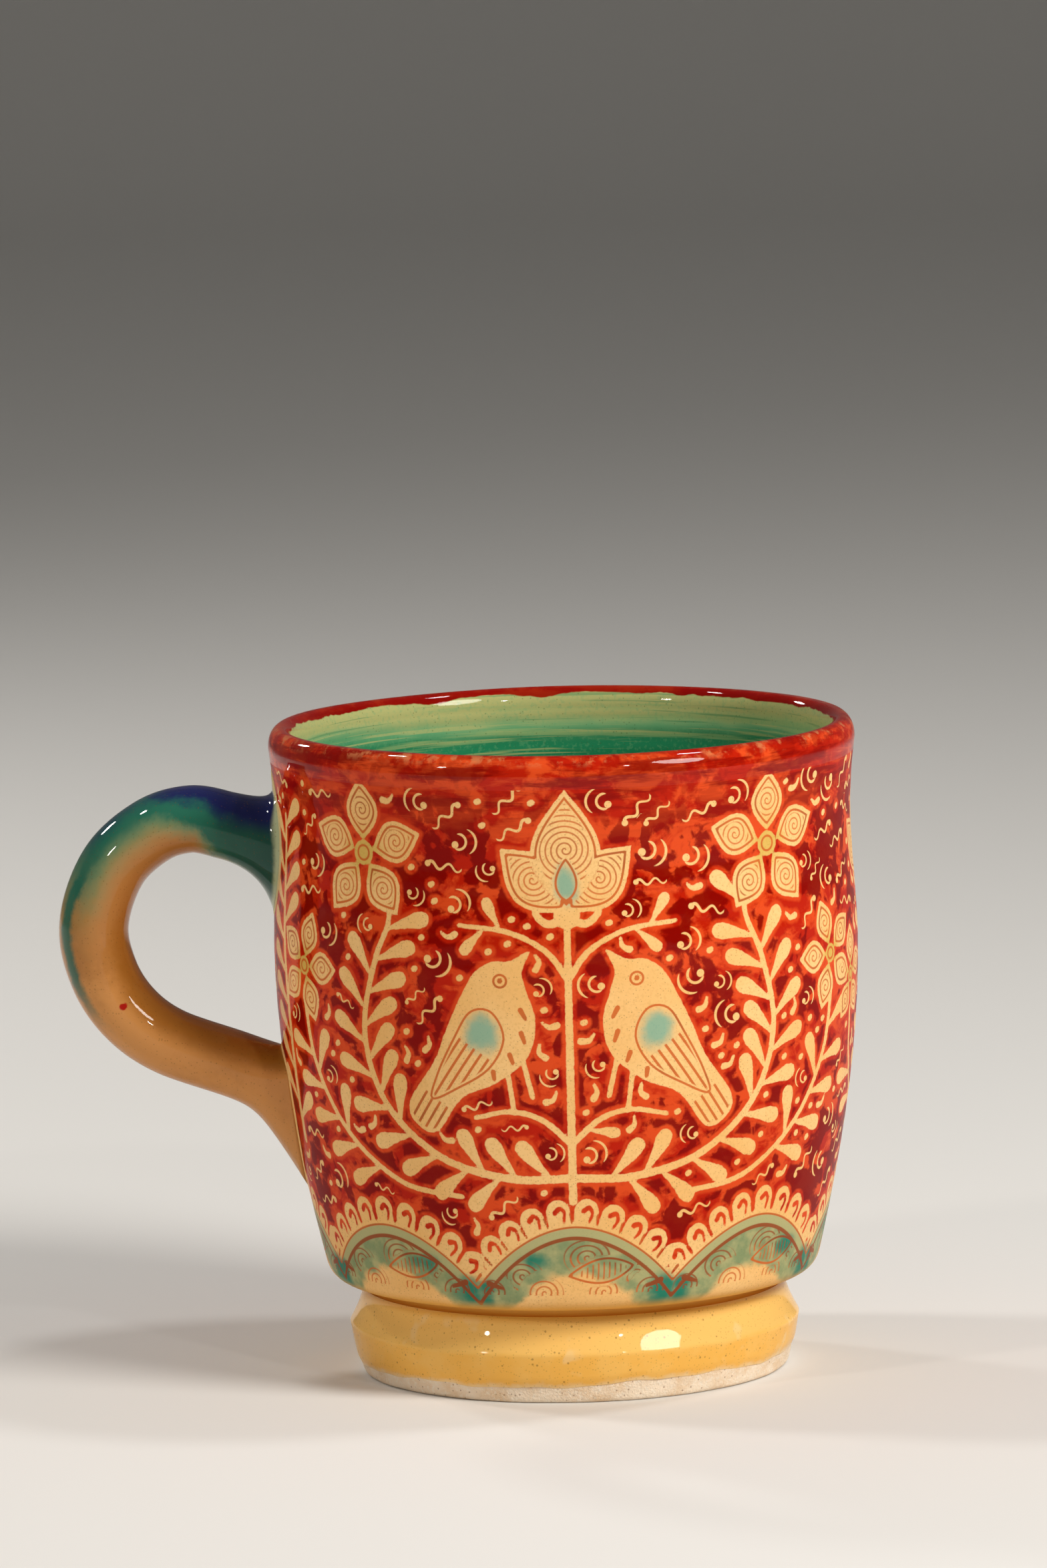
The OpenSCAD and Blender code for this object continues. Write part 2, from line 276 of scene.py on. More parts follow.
def group(name, output, build, **inputs):  # node group of one output, with inputs that hold these values
    tree = work["tree"] = bpy.data.node_groups.new(name, "ShaderNodeTree")
    for label, value in inputs.items():
        entry = tree.interface.new_socket(name=label, in_out="INPUT", socket_type="NodeSocketFloat")
        entry.default_value = value
    kind = "NodeSocketColor" if output == "Color" else "NodeSocketFloat"
    tree.interface.new_socket(name=output, in_out="OUTPUT", socket_type=kind)
    entries = tree.nodes.new("NodeGroupInput").outputs
    made = build(*(Wire(entries[label]) for label in inputs))
    tree.links.new(made.socket, tree.nodes.new("NodeGroupOutput").inputs[output])
    return tree


def placed(groupTree, **values):
    return wire(0, "Group", values, node_tree=groupTree)


def finish(name, colour, height, bump, values):
    # material with a colour and a bump that functions give; bump is strength and depth in metres
    material = bpy.data.materials.new(name)
    material.use_nodes = True
    tree = work["tree"] = material.node_tree
    shader = tree.nodes["Principled BSDF"]
    tree.links.new(colour().socket, shader.inputs["Base Color"])
    normal = wire(0, "Bump", {"Height": height(), "Strength": bump[0], "Distance": bump[1]})
    tree.links.new(normal.socket, shader.inputs["Normal"])
    if "Coat Weight" in values:
        tree.links.new(normal.socket, shader.inputs["Coat Normal"])
    for key, value in values.items():
        shader.inputs[key].default_value = value
    return material


glaze = {"Roughness": 0.32, "IOR": 1.5, "Specular IOR Level": 0.0, "Coat Roughness": 0.03, "Coat IOR": 1.3}


def glossy(name, colour, coat=0.35):  # clear glaze over a coloured body, with the shared skin's ripples
    return finish(name, colour, lambda: placed(glazeSkin), (0.25, 0.00025), {**glaze, "Coat Weight": coat})


# tones of the shared finishes, and their patterns as noise takes them: scale, detail, roughness and so on
red = {"light": (0.72, 0.072, 0.013), "mid": (0.48, 0.013, 0.002), "dark": (0.215, 0.0012, 0.0003),
       "brush": (130, 4.0, 0.6, 0.6, 1.7), "streaks": (42, 5.0, 0.62, 0.25, 8),
       "mottle": (430, 4.0, 0.65, 0.6), "blotch": (190, 2.0, 0.5, 0.9)}
cream = {"pale": (0.92, 0.575, 0.235), "warm": (0.87, 0.49, 0.165), "grain": (0.74, 0.41, 0.13),
         "speck": (0.30, 0.14, 0.04), "patches": (60, 3.0), "fine": (2400, 2.0)}
green = {"straw": (0.44, 0.44, 0.17), "leaf": (0.14, 0.36, 0.165), "emerald": (0.016, 0.205, 0.088),
         "streak": (0.30, 0.43, 0.17), "speck": (0.05, 0.10, 0.03), "drift": (45, 3.0), "fine": (1700, 2.0),
         "throwing": (24, 4.0, 0.62, 0.15, 20), "drag": (30, 3.0, 0.6, 0.1, 46)}
amber = {"honey": (0.92, 0.56, 0.155), "deep": (0.90, 0.48, 0.09), "pool": (0.68, 0.33, 0.055),
         "pale": (0.90, 0.68, 0.36), "edge": (0.86, 0.64, 0.36), "dust": (0.19, 0.085, 0.015),
         "grains": (0.13, 0.05, 0.012)}


def speckMask(scale, share):  # small dark grains, one in some cells of a fine cell pattern
    cells = node("TexVoronoi", {"Vector": place(), "Scale": scale})
    chosen = wire(0, "SeparateColor", {0: Wire(cells["Color"])})
    return step(Wire(cells["Distance"]), 0.34, 0.16) * calc("LESS_THAN", chosen, share)


def redColour(clear, streak, pool):
    # bright where thin beside the reserved shapes, blotched with dark where it pooled between them
    mottle = noise(*red["mottle"]) * 0.34 - 0.17
    blotch, streaks = noise(*red["blotch"]) + mottle, noise(*red["streaks"])
    tone = mixed(red["light"], red["mid"], step(noise(*red["brush"]) + mottle, 0.40, 0.56))
    tone = mixed(tone, red["dark"], step(blotch, 0.445, 0.52) * step(clear, 0.35, 0.85) * pool)
    for key, low, high, share in (("light", 0.54, 0.64, 0.75), ("dark", 0.52, 0.42, 0.8)):
        tone = mixed(tone, red[key], step(streaks, low, high) * streak, share)
    return mixed(tone, red["light"], step(clear, 0.85, 0.25) * step(blotch, 0.62, 0.44), 0.75)


def creamColour():  # warm patches, a fine grain and iron specks
    tone = mixed(cream["pale"], cream["warm"], step(noise(*cream["patches"]), 0.35, 0.75))
    tone = mixed(tone, cream["grain"], step(noise(*cream["fine"]), 0.48, 0.68), 0.45)
    return mixed(tone, cream["speck"], placed(specks, Scale=2700.0, Share=0.30), 0.45)


def greenColour():  # straw near the lip, then leaf and emerald lower down, streaked by the throwing lines
    height, drag = noise(*green["drift"]) * 5.0 + heightOf(), noise(*green["drag"])
    tone = mixed(green["straw"], green["leaf"], step(height, 99.6, 96.4))
    tone = mixed(tone, green["emerald"], step(height, 97.8, 94.2))
    tone = mixed(tone, green["streak"], step(noise(*green["throwing"]), 0.50, 0.64), 0.7)
    tone = mixed(tone, green["straw"], step(drag, 0.56, 0.64), 0.6)
    tone = mixed(tone, green["emerald"], step(drag, 0.42, 0.34), 0.5)
    tone = mixed(tone, green["leaf"], step(noise(*green["fine"]), 0.50, 0.68), 0.3)
    return mixed(tone, green["speck"], placed(specks, Scale=2400.0, Share=0.14), 0.45)


# glaze skin: slow ripples of the melted glaze and a fine orange peel
glazeSkin = group("glazeSkin", "Height", lambda: noise(900, 2.0) * 0.12 + noise(160, 2.0))
specks = group("ironSpecks", "Mask", speckMask, Scale=2200.0, Share=0.35)
redSlip = group("redSlip", "Color", redColour, Clear=3.0, Streak=0.3, Pool=0.9)
creamSlip = group("creamSlip", "Color", creamColour)
greenGlaze = group("greenGlaze", "Color", greenColour)
print("shared finishes ready")


# painted wall: its ornament is drawn on the unrolled outside, s mm round from the front and z mm up
wall = {
    "columns": 776, "rows": 214, "heelRows": 14, "backRows": 15, "seed": 7,
    "mapR": 43.5,  # radius at which s is measured
    "reach": 6.0,  # distances are followed this far
}
turnS = 2 * math.pi * wall["mapR"]
sheetS, sheetZ = -turnS / 4, cup["heelZ"]  # first column, under the handle, and first row
stepS, stepZ = turnS / wall["columns"], (cup["bandZ"] - cup["heelZ"]) / (wall["rows"] - 1)
gridS, gridZ = sheetS + np.arange(wall["columns"]) * stepS, sheetZ + np.arange(wall["rows"]) * stepZ
sheetSize = (wall["rows"], wall["columns"])
sheet = {layer: np.full(sheetSize, wall["reach"]) for layer in ("reserve", "ring", "ink")}
for layer in ("swirl", "hatch", "curl", "wave"):
    sheet[layer] = np.tile([0, 0, -wall["reach"]], (*sheetSize, 1))
sheet["tint"] = np.zeros((*sheetSize, 3))
rng = np.random.default_rng(wall["seed"])


def under(points, margin=wall["reach"]):  # the sheet's vertices near some points: their indices, s and z
    low, high = points.min(0) - margin, points.max(0) + margin
    top = min(wall["rows"], int((high[1] - sheetZ) / stepZ) + 2)
    rows = np.arange(max(0, int((low[1] - sheetZ) / stepZ)), top)
    cols = np.arange(math.floor((low[0] - sheetS) / stepS), math.ceil((high[0] - sheetS) / stepS) + 1)
    where = np.ix_(rows, cols % wall["columns"])
    return where, (sheetS + cols * stepS)[None, :], (sheetZ + rows * stepZ)[:, None]


def lookUp(points, layer="reserve"):  # the layer at the vertices nearest to some points
    rows = np.clip(np.rint((points[:, 1] - sheetZ) / stepZ).astype(int), 0, wall["rows"] - 1)
    return sheet[layer][rows, np.rint((points[:, 0] - sheetS) / stepS).astype(int) % wall["columns"]]


def smoothPath(points, cuts=8, closed=False, lead=1):
    # curve through points, each leg a cubic set by its neighbours
    p = np.asarray(points, float)
    before, after = p[:1] + lead * (p[:1] - p[1:2]), p[-1:] + lead * (p[-1:] - p[-2:-1])
    q = np.concatenate([p[-1:], p, p[:2]] if closed else [before, p, after])
    a, b, c, d = (q[k:len(q) - 3 + k, None] for k in range(4))
    t = (np.arange(cuts) / cuts)[None, :, None]
    path = (2 * b + (c - a) * t + (2 * a - 5 * b + 4 * c - d) * t**2 + (3 * b - a - 3 * c + d) * t**3) / 2
    return path.reshape(-1, 2) if closed else np.append(path.reshape(-1, 2), p[-1:], 0)


def strokeField(path, widths, s, z):  # distance to the nearest leg of a path, less the half width there
    leg, widths = np.diff(path, axis=0), np.broadcast_to(np.asarray(widths, float), len(path))
    dS, dZ = s[..., None] - path[:-1, 0], z[..., None] - path[:-1, 1]
    t = np.clip((dS * leg[:, 0] + dZ * leg[:, 1]) / np.maximum((leg**2).sum(1), 1e-9), 0, 1)
    away = np.hypot(dS - t * leg[:, 0], dZ - t * leg[:, 1])
    return (away - widths[:-1] - t * np.diff(widths)).min(-1)


def shapeField(outline, s, z):
    # distance to a closed outline, negative where a ray crosses it an odd number of times
    away = strokeField(np.append(outline, outline[:1], 0), 0.0, s, z)
    (startS, startZ), (endS, endZ), level = outline.T, np.roll(outline, -1, 0).T, z[..., None]
    rise = np.where(np.abs(endZ - startZ) < 1e-9, 1e-9, endZ - startZ)
    ahead = s[..., None] < startS + (level - startZ) * (endS - startS) / rise
    crosses = ((startZ > level) != (endZ > level)) & ahead
    return np.where(crosses.sum(-1) % 2 == 1, -away, away)


def keep(layer, where, field):
    sheet[layer][where] = np.minimum(sheet[layer][where], field)


def cutOut(layer, where, field):  # a hole in what the layer holds
    sheet[layer][where] = np.maximum(sheet[layer][where], -field)


def stroke(path, widths, layer="reserve"):
    path = np.asarray(path, float)
    where, s, z = under(path)
    keep(layer, where, strokeField(path, widths, s, z))


def inside(outline):  # the sheet near an outline, with its distance field
    where, s, z = under(outline)
    return where, s, z, shapeField(outline, s, z)


def shape(outline, layer="reserve"):
    where, s, z, field = inside(outline)
    keep(layer, where, field)
    return where, s, z, field


def lines(layer, where, own, field, spare=0.9):
    # place in a shape's own axes, and depth inside its edge, for lines drawn on it
    values = np.append(own, -field[..., None], -1)
    sheet[layer][where] = np.where((field < spare)[..., None], values, sheet[layer][where])


def dab(colour, centre, radii, strength=1.0):  # soft spot of a wash: 0 turquoise, 1 yellow, 2 teal
    where, s, z = under(np.array([centre], float), 3 * max(radii))
    spot = strength * np.exp(-(((s - centre[0]) / radii[0]) ** 2 + ((z - centre[1]) / radii[1]) ** 2))
    layer = sheet["tint"][..., colour]
    layer[where] = np.maximum(layer[where], spot)


def turned(points, angle):
    x, y = np.moveaxis(np.asarray(points, float), -1, 0)
    c, s = math.cos(angle), math.sin(angle)
    return pair(x * c - y * s, x * s + y * c)


def laid(points, base, angle):  # turned, and moved from the origin to a base
    return np.asarray(base) + turned(points, angle)


def disc(centre, radius):
    a = roundAngles(20)
    return np.asarray(centre) + radius * pair(np.cos(a), np.sin(a))


# flowers and leaves: most sizes are shares of the flower's or leaf's own
upright = math.pi / 2
rosetteForm = {"petals": 5, "heart": 0.24, "pip": 0.14, "long": 1.16, "wide": 0.40, "skew": 0.95, "wash": 0.5}
tulipForm = {
    "petals": ((0.80, 0.76, 0.23), (-0.80, 0.76, 0.23), (0, 1.02, 0.29)),  # lean, length, half width
    "petalAt": 0.04, "skew": 0.9, "cup": 0.11,
    "dropAt": 0.13, "drop": (0.34, 0.085, 0.8), "washAt": 0.26, "wash": (0.10, 0.17),
    "tendril": [(0, 0), (-1.2, 2.6), (0.4, 4.6), (2.0, 4.0)], "tendrilHalf": (0.7, 0.4),  # mm
}
petalForm = {"point": 1.05, "inset": 0.8, "eye": 0.5}  # line inside the edge in mm, and the spiral's middle
leafForm = {"curve": ((0.5, 0.34), (0.82, 0.62)), "lean": 0.22, "tipRoom": 1.9, "waistRoom": 0.55,
            "widthAt": (0, 0.45, 0.85, 1), "width": (0.03, 0.12, 0.20, 0.185)}


def petalOutline(base, angle, length, width, skew, point=0.85):  # two sine arcs from a point to a point
    t = np.linspace(0, 1, 22)
    side = width * np.sin(np.pi * t**skew) ** point
    return laid(np.concatenate([pair(length * t, side), pair(length * t, -side)[-2:0:-1]]), base, angle)


def petal(base, angle, length, width, skew):
    # cream petal with a line drawn inside its edge and a spiral round its eye
    where, s, z, field = shape(petalOutline(base, angle, length, width, skew, petalForm["point"]))
    keep("ring", where, field + petalForm["inset"])
    eye = laid([length * petalForm["eye"], 0], base, angle)
    lines("swirl", where, pair(s - eye[0], z - eye[1]), field + petalForm["inset"] + 0.3)


def rosette(centre, size, turn=0.0):
    form = {key: size * value for key, value in rosetteForm.items()}
    for a in upright + turn + roundAngles(rosetteForm["petals"]):
        petal(laid([form["heart"], 0], centre, a), a, form["long"], form["wide"], rosetteForm["skew"])
    shape(disc(centre, form["heart"]))
    shape(disc(centre, form["pip"]), "ring")
    dab(1, centre, (form["wash"], form["wash"]), 0.9)


def tulip(base, length):  # one upright petal between two that lean out, over a small cup
    def up(key):
        return np.array(base) + [0, length * tulipForm[key]]

    for lean, long, wide in tulipForm["petals"]:
        petal(up("petalAt"), upright + lean, length * long, length * wide, tulipForm["skew"])
    long, wide, skew = tulipForm["drop"]
    where, s, z, field = inside(petalOutline(up("dropAt"), upright, length * long, length * wide, skew))
    cutOut("ring", where, field)
    depth = sheet["swirl"][..., 2]
    depth[where] = np.where(field < 0.3, -wall["reach"], depth[where])
    dab(0, up("washAt"), [length * share for share in tulipForm["wash"]])
    shape(disc(base, length * tulipForm["cup"]))
    for side in (1, -1):
        tendril = smoothPath(np.array(tulipForm["tendril"]) * [1, side], 5)
        stroke(laid(tendril, base, upright), np.linspace(*tulipForm["tendrilHalf"], len(tendril)))


def bough(points, thick=(0.66, 0.42), every=5.3, leaf=6.5, first=3.0):
    # stem with drop-shaped leaves that leave it to either side in turn, where there is room for them
    path = smoothPath(points)
    stroke(path, np.linspace(*thick, len(path)))
    run = runAlong(path)
    for k, d in enumerate(np.arange(first, run[-1] - 2.0, every / 2)):
        base, ahead = (np.array([np.interp(at, run, x) for x in path.T]) for at in (d, min(d + 0.5, run[-1])))
        side = 1 if k % 2 else -1
        way = math.atan2(ahead[1] - base[1], ahead[0] - base[0]) + side * leafForm["lean"]
        curve = [(0.3, 0), *((leaf * x, side * leaf * y) for x, y in leafForm["curve"])]
        drop = laid(smoothPath(curve, 4), base, way)
        if lookUp(drop[-1:])[0] > leafForm["tipRoom"] and lookUp(drop[4:5])[0] > leafForm["waistRoom"]:
            share = np.linspace(0, 1, len(drop))
            stroke(drop, leaf * np.interp(share, leafForm["widthAt"], leafForm["width"]))


# a plain plump songbird, in mm along its back from tail to beak and square to it
bird = {
    "outline": [(14.6, 0.6), (11.9, 2.0), (10.4, 3.9), (7.8, 4.9), (4.4, 4.6), (-0.4, 3.8), (-5.6, 2.8),
                (-12.4, 2.9), (-14.4, 0.8), (-13.4, -2.5), (-7.2, -3.0), (-2.6, -5.7), (2.8, -7.1),
                (7.2, -5.3), (9.8, -2.2), (11.7, -0.1)],
    "wing": [(4.9, 0.1), (3.2, 2.4), (-1.2, 2.2), (-6.6, 1.5), (-9.9, 0.4), (-6.4, -1.8), (-1.6, -3.8),
             (2.9, -3.2)],
    "eye": (9.0, 1.5), "eyeR": 0.85, "washAt": (1.8, -0.5), "wash": (2.7, 2.9),
    "legs": [[(-0.4, -6.0), (-2.6, -8.0), (-4.6, -9.8)], [(2.2, -6.6), (0.4, -8.6), (-1.4, -10.6)]],
    "dashes": [[(7.4, -2.8), (6.8, -4.0)], [(4.9, -4.6), (4.1, -5.7)], [(1.6, -5.0), (0.9, -6.0)],
               [(-1.6, -4.5), (-2.4, -5.2)]],
    "coverts": -0.4, "tail": -9.4,  # where the lines of the wing and of the tail begin
    "tilt": 0.95, "scale": 1.14,
}


def drawBird(centre, face):  # face is 1 to look towards +s and -1 towards -s
    def at(points):
        return np.asarray(centre) + turned(np.asarray(points) * bird["scale"], bird["tilt"]) * [face, 1]

    where, s, z, body = shape(at(smoothPath(bird["outline"], 5, True)))
    wing = shapeField(at(smoothPath(bird["wing"], 5, True)), s, z)
    keep("ring", where, wing)
    shape(at(disc(bird["eye"], bird["eyeR"])), "ring")
    stroke(at([bird["eye"], np.add(bird["eye"], 0.05)]), 0.4, "ink")
    for leg in bird["legs"]:
        stroke(at(smoothPath(leg, 4)), 0.4)
    for dash in bird["dashes"]:
        stroke(at(dash), (0.4, 0.3), "ink")
    own = turned(pair((s - centre[0]) * face, z - centre[1]), -bird["tilt"]) / bird["scale"]
    inWing = np.maximum(wing + 0.3, own[..., 0] - bird["coverts"])
    inTail = np.maximum(np.maximum(body + 0.45, own[..., 0] - bird["tail"]), -wing)
    lines("hatch", where, own, np.minimum(inWing, inTail))
    dab(0, at(bird["washAt"]), bird["wash"])


# scalloped border: arches round the foot of the wall with a row of loops on them; places along are shares
border = {
    "arches": 8, "crestZ": 27.8, "valleyZ": 18.8, "power": 1.9, "cusp": 0.9, "ledge": 0.8,
    "uneven": 0.55,  # how far the hand let crests and valleys wander
    "loopW": 4.0, "loopH": 2.6, "loopHalf": (1.84, 1.95), "seam": (0.6, 2.1), "seamHalf": (0.2, 0.28),
    "hook": [(2.6, -0.5), (3.2, 0.35), (2.3, 0.95), (0.9, 0.6)], "hookHalf": (0.42, 0.2),  # cut in each loop
    "spirals": ((-0.46, 2.7), (0.10, 3.1), (0.62, 2.2)), "spiralFlat": 0.72,
    "shells": ((-0.84, 2.2), (-0.30, 2.7), (0.30, 2.4), (0.78, 2.6)), "shellFlat": 0.8, "shellZ": 17.9,
    "dabs": ((1, (3.0, 2.1)), (-1, (2.0, 1.7))), "dabAt": 0.91, "smear": (3.2, 1.5), "smearDrop": 3.6,
    "leafAt": (-1.0, 20.6), "leaf": (0.12, 11.0, 1.9, 1.1),  # its angle, length, half width and skew
}
archW = turnS / border["arches"]


def archAt(s):  # height of the arch and its slope: a power curve between wandering valleys and crests
    x = ((s + archW / 2) % archW - archW / 2) / (archW / 2)
    a, p = 2 * np.pi * np.asarray(s) / turnS, border["power"]
    valley = border["valleyZ"] + 0.7 * border["uneven"] * np.sin(5 * a + 0.4)
    rise = border["crestZ"] + border["uneven"] * np.sin(3 * a + 1.2) - valley
    return valley + rise * (1 - np.abs(x) ** p), -rise * p * np.sign(x) * np.abs(x) ** (p - 1) / (archW / 2)


def archField(s, z):  # distance above the arch, measured square to it
    height, slope = archAt(s)
    return (z - height) / np.hypot(1, slope)


def borderSpiral(eye, radius, flat):
    where, s, z = under(eye[None], radius / flat + 1)
    ds, dz = (s - eye[0]) * flat, z - eye[1]
    lines("swirl", where, pair(ds, dz), np.hypot(ds, dz) - radius)


def drawBorder(k):
    middle = k * archW
    s = middle + np.linspace(-0.5, 0.5, 61) * archW * 0.999
    z = archAt(s)[0]
    run = runAlong(pair(s, z))
    span = run[-1] - 2 * border["cusp"]
    loops = round(span / border["loopW"])
    for d in border["cusp"] + (np.arange(loops) + 0.5) * span / loops:
        foot = np.array([np.interp(d, run, s), np.interp(d, run, z)])
        slope = archAt(foot[0])[1]
        along = np.array([1, slope]) / math.hypot(1, slope)
        out = np.array([-along[1], along[0]])
        stroke([foot + out * 0.2, foot + out * border["loopH"]], border["loopHalf"])
        seam = foot + along * span / loops / 2
        stroke([seam + out * end for end in border["seam"]], border["seamHalf"], "ink")
        hook = smoothPath(foot + np.array(border["hook"]) @ [out, along], 4)
        where, hookS, hookZ = under(hook, 2.0)
        cutOut("reserve", where, strokeField(hook, np.linspace(*border["hookHalf"], len(hook)), hookS, hookZ))
    for x, radius in border["spirals"]:  # flattened spirals in the green band
        eye = np.array([middle + (x + 0.07 * math.sin(2.1 * k + 5 * x)) * archW / 2, 0])
        height, slope = archAt(eye[0])
        eye[1] = height - (radius + 1.5) * math.hypot(1, slope)
        borderSpiral(eye, radius, border["spiralFlat"])
    for x, radius in border["shells"]:  # half spirals that run out at the heel
        borderSpiral(np.array([middle + x * archW / 2, border["shellZ"]]), radius, border["shellFlat"])
    for side, radii in border["dabs"]:
        edge = np.array([middle + side * archW / 2 * border["dabAt"], border["valleyZ"] - 0.4])
        dab(2, edge, radii)
        stroke([edge + [-side * 0.6, 0.9], edge + [-side * 3.2, 0.1]], (0.5, 0.25), "ink")
    base = np.array([middle, 0]) + border["leafAt"]
    where, s, z, field = inside(petalOutline(base, *border["leaf"]))
    keep("ring", where, field)
    lines("swirl", where, pair((s - base[0] + 1.5) * 0.9, (z - base[1] - 1.0) * 0.6), field + 0.4)
    smearS = middle + (0.45 if k % 2 else -0.40) * archW / 2
    dab(2, (smearS, archAt(smearS)[0] - border["smearDrop"]), border["smear"], 0.8)


# plan of the wall: places from a middle line and up, then sizes; boughs go on with stem widths and leaves
panel = {
    "tulip": (76.0, 18.0), "bird": (14.6, 57.0), "stem": (32.4, 56, 75.5), "stemHalf": (0.66, 0.5),
    "rosettes": ((33.0, 84.6, 8.0, 0.0), (47.8, 66.0, 6.3, 0.3)),
    "boughs": (
        ([(0, 36.0), (10, 36.0), (21, 39), (30, 46.6), (33.2, 57), (30.8, 68), (28.0, 75.2), (29.8, 81.0)],),
        ([(18, 32.9), (29, 34.6), (39.5, 41.5), (46, 51), (48, 60.6)], (0.42, 0.5), 5.3, 6.5, 2.0),
        ([(0, 41.2), (4.2, 45.0), (9, 46.4), (14.6, 45.4)], (0.5, 0.36), 5.2, 4.4),
        ([(0, 66.4), (3.2, 70.8), (8.8, 73.7), (16.2, 74.6)], (0.5, 0.34), 4.8, 4.6)),
}
spray = {"tulip": (75.5, 16.5), "rosette": (11.5, 61.5, 5.6), "stem": (32.5, 52, 74.5),
         "boughs": [(0, 38), (6.5, 44), (10.4, 50), (11.3, 56.5)]}
sprig = {"path": [(0, 38), (0.8, 56), (-0.4, 74), (0, 88)], "away": 12.6}  # to either side of the handle


def mirrored(middle, side, points):
    return [(middle + side * s, z) for s, z in points]


def drawPanel(middle):  # two birds on the twigs of a stem, in a lyre of leafy boughs
    tulip((middle, panel["tulip"][0]), panel["tulip"][1])
    for side in (1, -1):
        drawBird((middle + side * panel["bird"][0], panel["bird"][1]), -side)
        for s, z, size, turn in panel["rosettes"]:
            rosette((middle + side * s, z), size, side * turn)
    stem = smoothPath([(middle, z) for z in panel["stem"]])
    stroke(stem, np.linspace(*panel["stemHalf"], len(stem)))
    for side in (1, -1):
        for points, *form in panel["boughs"]:
            bough(mirrored(middle, side, points), *form)


def drawSpray(middle):  # single tall stem with a tulip and two rosettes
    tulip((middle, spray["tulip"][0]), spray["tulip"][1])
    s, z, size = spray["rosette"]
    for side in (1, -1):
        rosette((middle + side * s, z), size)
    bough([(middle, z) for z in spray["stem"]], every=5.4)
    for side in (1, -1):
        bough(mirrored(middle, side, spray["boughs"]), (0.5, 0.36))


# the handle's roots on the wall, which the ground's marks keep clear of: place, half width, half height
roots = {"upper": (81.6, 9.6, 11.2), "lower": (40.0, 8.6, 12.6)}

# curls and squiggles of the ground in axes of their own, in mm: a round head, then thin arcs or a thin wave
scroll = {
    "lineHalf": 0.21, "edge": 0.07,
    "curlHead": (-1.55, 0.1), "curlHeadR": 0.6, "curlReach": 2.65,
    "arcs": ({"middle": (-0.8, 0.4), "radius": 1.3, "facing": -0.5, "spread": 1.95},
             {"middle": (-0.05, 0.15), "radius": 2.25, "facing": -0.25, "spread": 1.2}),
    "waveHead": (-2.75, 0.1), "waveHeadR": 0.48, "waveHalf": 2.9, "waveReach": 1.2, "rise": 0.5, "pitch": 2.9,
    "comma": [(-0.6, -0.4), (0.5, 0.0), (0.9, 1.2)], "commaReach": 1.3, "dotReach": 0.95,
    # what goes in first where there is room for it: kind, size, and the share of the places that is tried
    "passes": (("wave", 1.0, 0.10), ("curl", 1.0, 0.16), ("wave", 1.0, 0.4), ("curl", 0.9, 1),
               ("wave", 0.85, 1), ("curl", 0.7, 1), ("wave", 0.7, 1), ("comma", 1.0, 1), ("dot", 1.0, 1)),
    "gap": 0.3, "rootGap": 2.6, "archGap": 5.6, "lowZ": 24, "spanZ": 69, "stray": 0.8,
}


def drawScroll(kind, spot, angle, flip, size):  # its own axes are kept on the sheet, for the lines to follow
    where, s, z = under(spot[None])
    own = turned(pair(s - spot[0], z - spot[1]), -angle) * [flip / size, 1 / size]
    past = np.maximum(np.abs(own[..., 0]) - (scroll["waveHalf"] if kind == "wave" else 0), 0)
    field = (np.hypot(past, own[..., 1]) - scroll[kind + "Reach"]) * size
    lines(kind, where, own, field, 0.55)
    keep("taken", where, field)


def fillGround():
    # curls, squiggles, commas and dots wherever the ground between the shapes has room, the larger ones first
    sheet["taken"] = sheet["reserve"].copy()
    rows, cols = np.mgrid[0:1:36j, 0:1:164j]
    spots = pair(sheetS + cols.ravel() * turnS, scroll["lowZ"] + rows.ravel() * scroll["spanZ"])
    spots = spots + rng.uniform(-scroll["stray"], scroll["stray"], (rows.size, 2))
    rng.shuffle(spots)
    ds = (spots[:, 0] - sheetS + turnS / 2) % turnS - turnS / 2
    clear, gap = archField(spots[:, 0], spots[:, 1]) > scroll["archGap"], scroll["rootGap"]
    for z, halfW, halfH in roots.values():
        clear &= np.hypot(ds / (halfW + gap), (spots[:, 1] - z) / (halfH + gap)) > 1
    spots = spots[clear]
    comma = smoothPath(scroll["comma"], 4)
    along = np.linspace(-1, 1, 5)[:, None] * [scroll["waveHalf"], 0]
    counts = dict.fromkeys(("curl", "wave", "comma", "dot"), 0)
    for kind, size, tried in scroll["passes"]:
        for spot in spots[:round(len(spots) * tried)]:
            angle, flip = rng.uniform(-0.5, 0.9), rng.choice([-1, 1])
            probe = spot + turned(along * size, angle) if kind == "wave" else spot[None]
            if lookUp(probe, "taken").min() < scroll[kind + "Reach"] * size + scroll["gap"]:
                continue
            counts[kind] += 1
            if kind in ("curl", "wave"):
                drawScroll(kind, spot, angle, flip, size)
                continue
            mark, half = [spot, spot + [0.25, 0.1]], 0.48
            if kind == "comma":
                mark, half = laid(comma * [flip, 1], spot, angle), np.linspace(0.55, 0.24, len(comma))
            for layer in ("reserve", "taken"):
                stroke(mark, half, layer)
    print("ground filled with", counts)


keep("reserve", np.s_[:], archField(gridS, gridZ[:, None]) - border["ledge"])
for k in range(border["arches"]):
    drawBorder(k)
drawPanel(0.0)
drawPanel(turnS / 2)
drawSpray(turnS / 4)
for side in (-1, 1):  # sprigs of leaves beside the handle
    bough([(sheetS + side * sprig["away"] + s, z) for s, z in sprig["path"]], every=5.0)
fillGround()
print("ornament drawn")


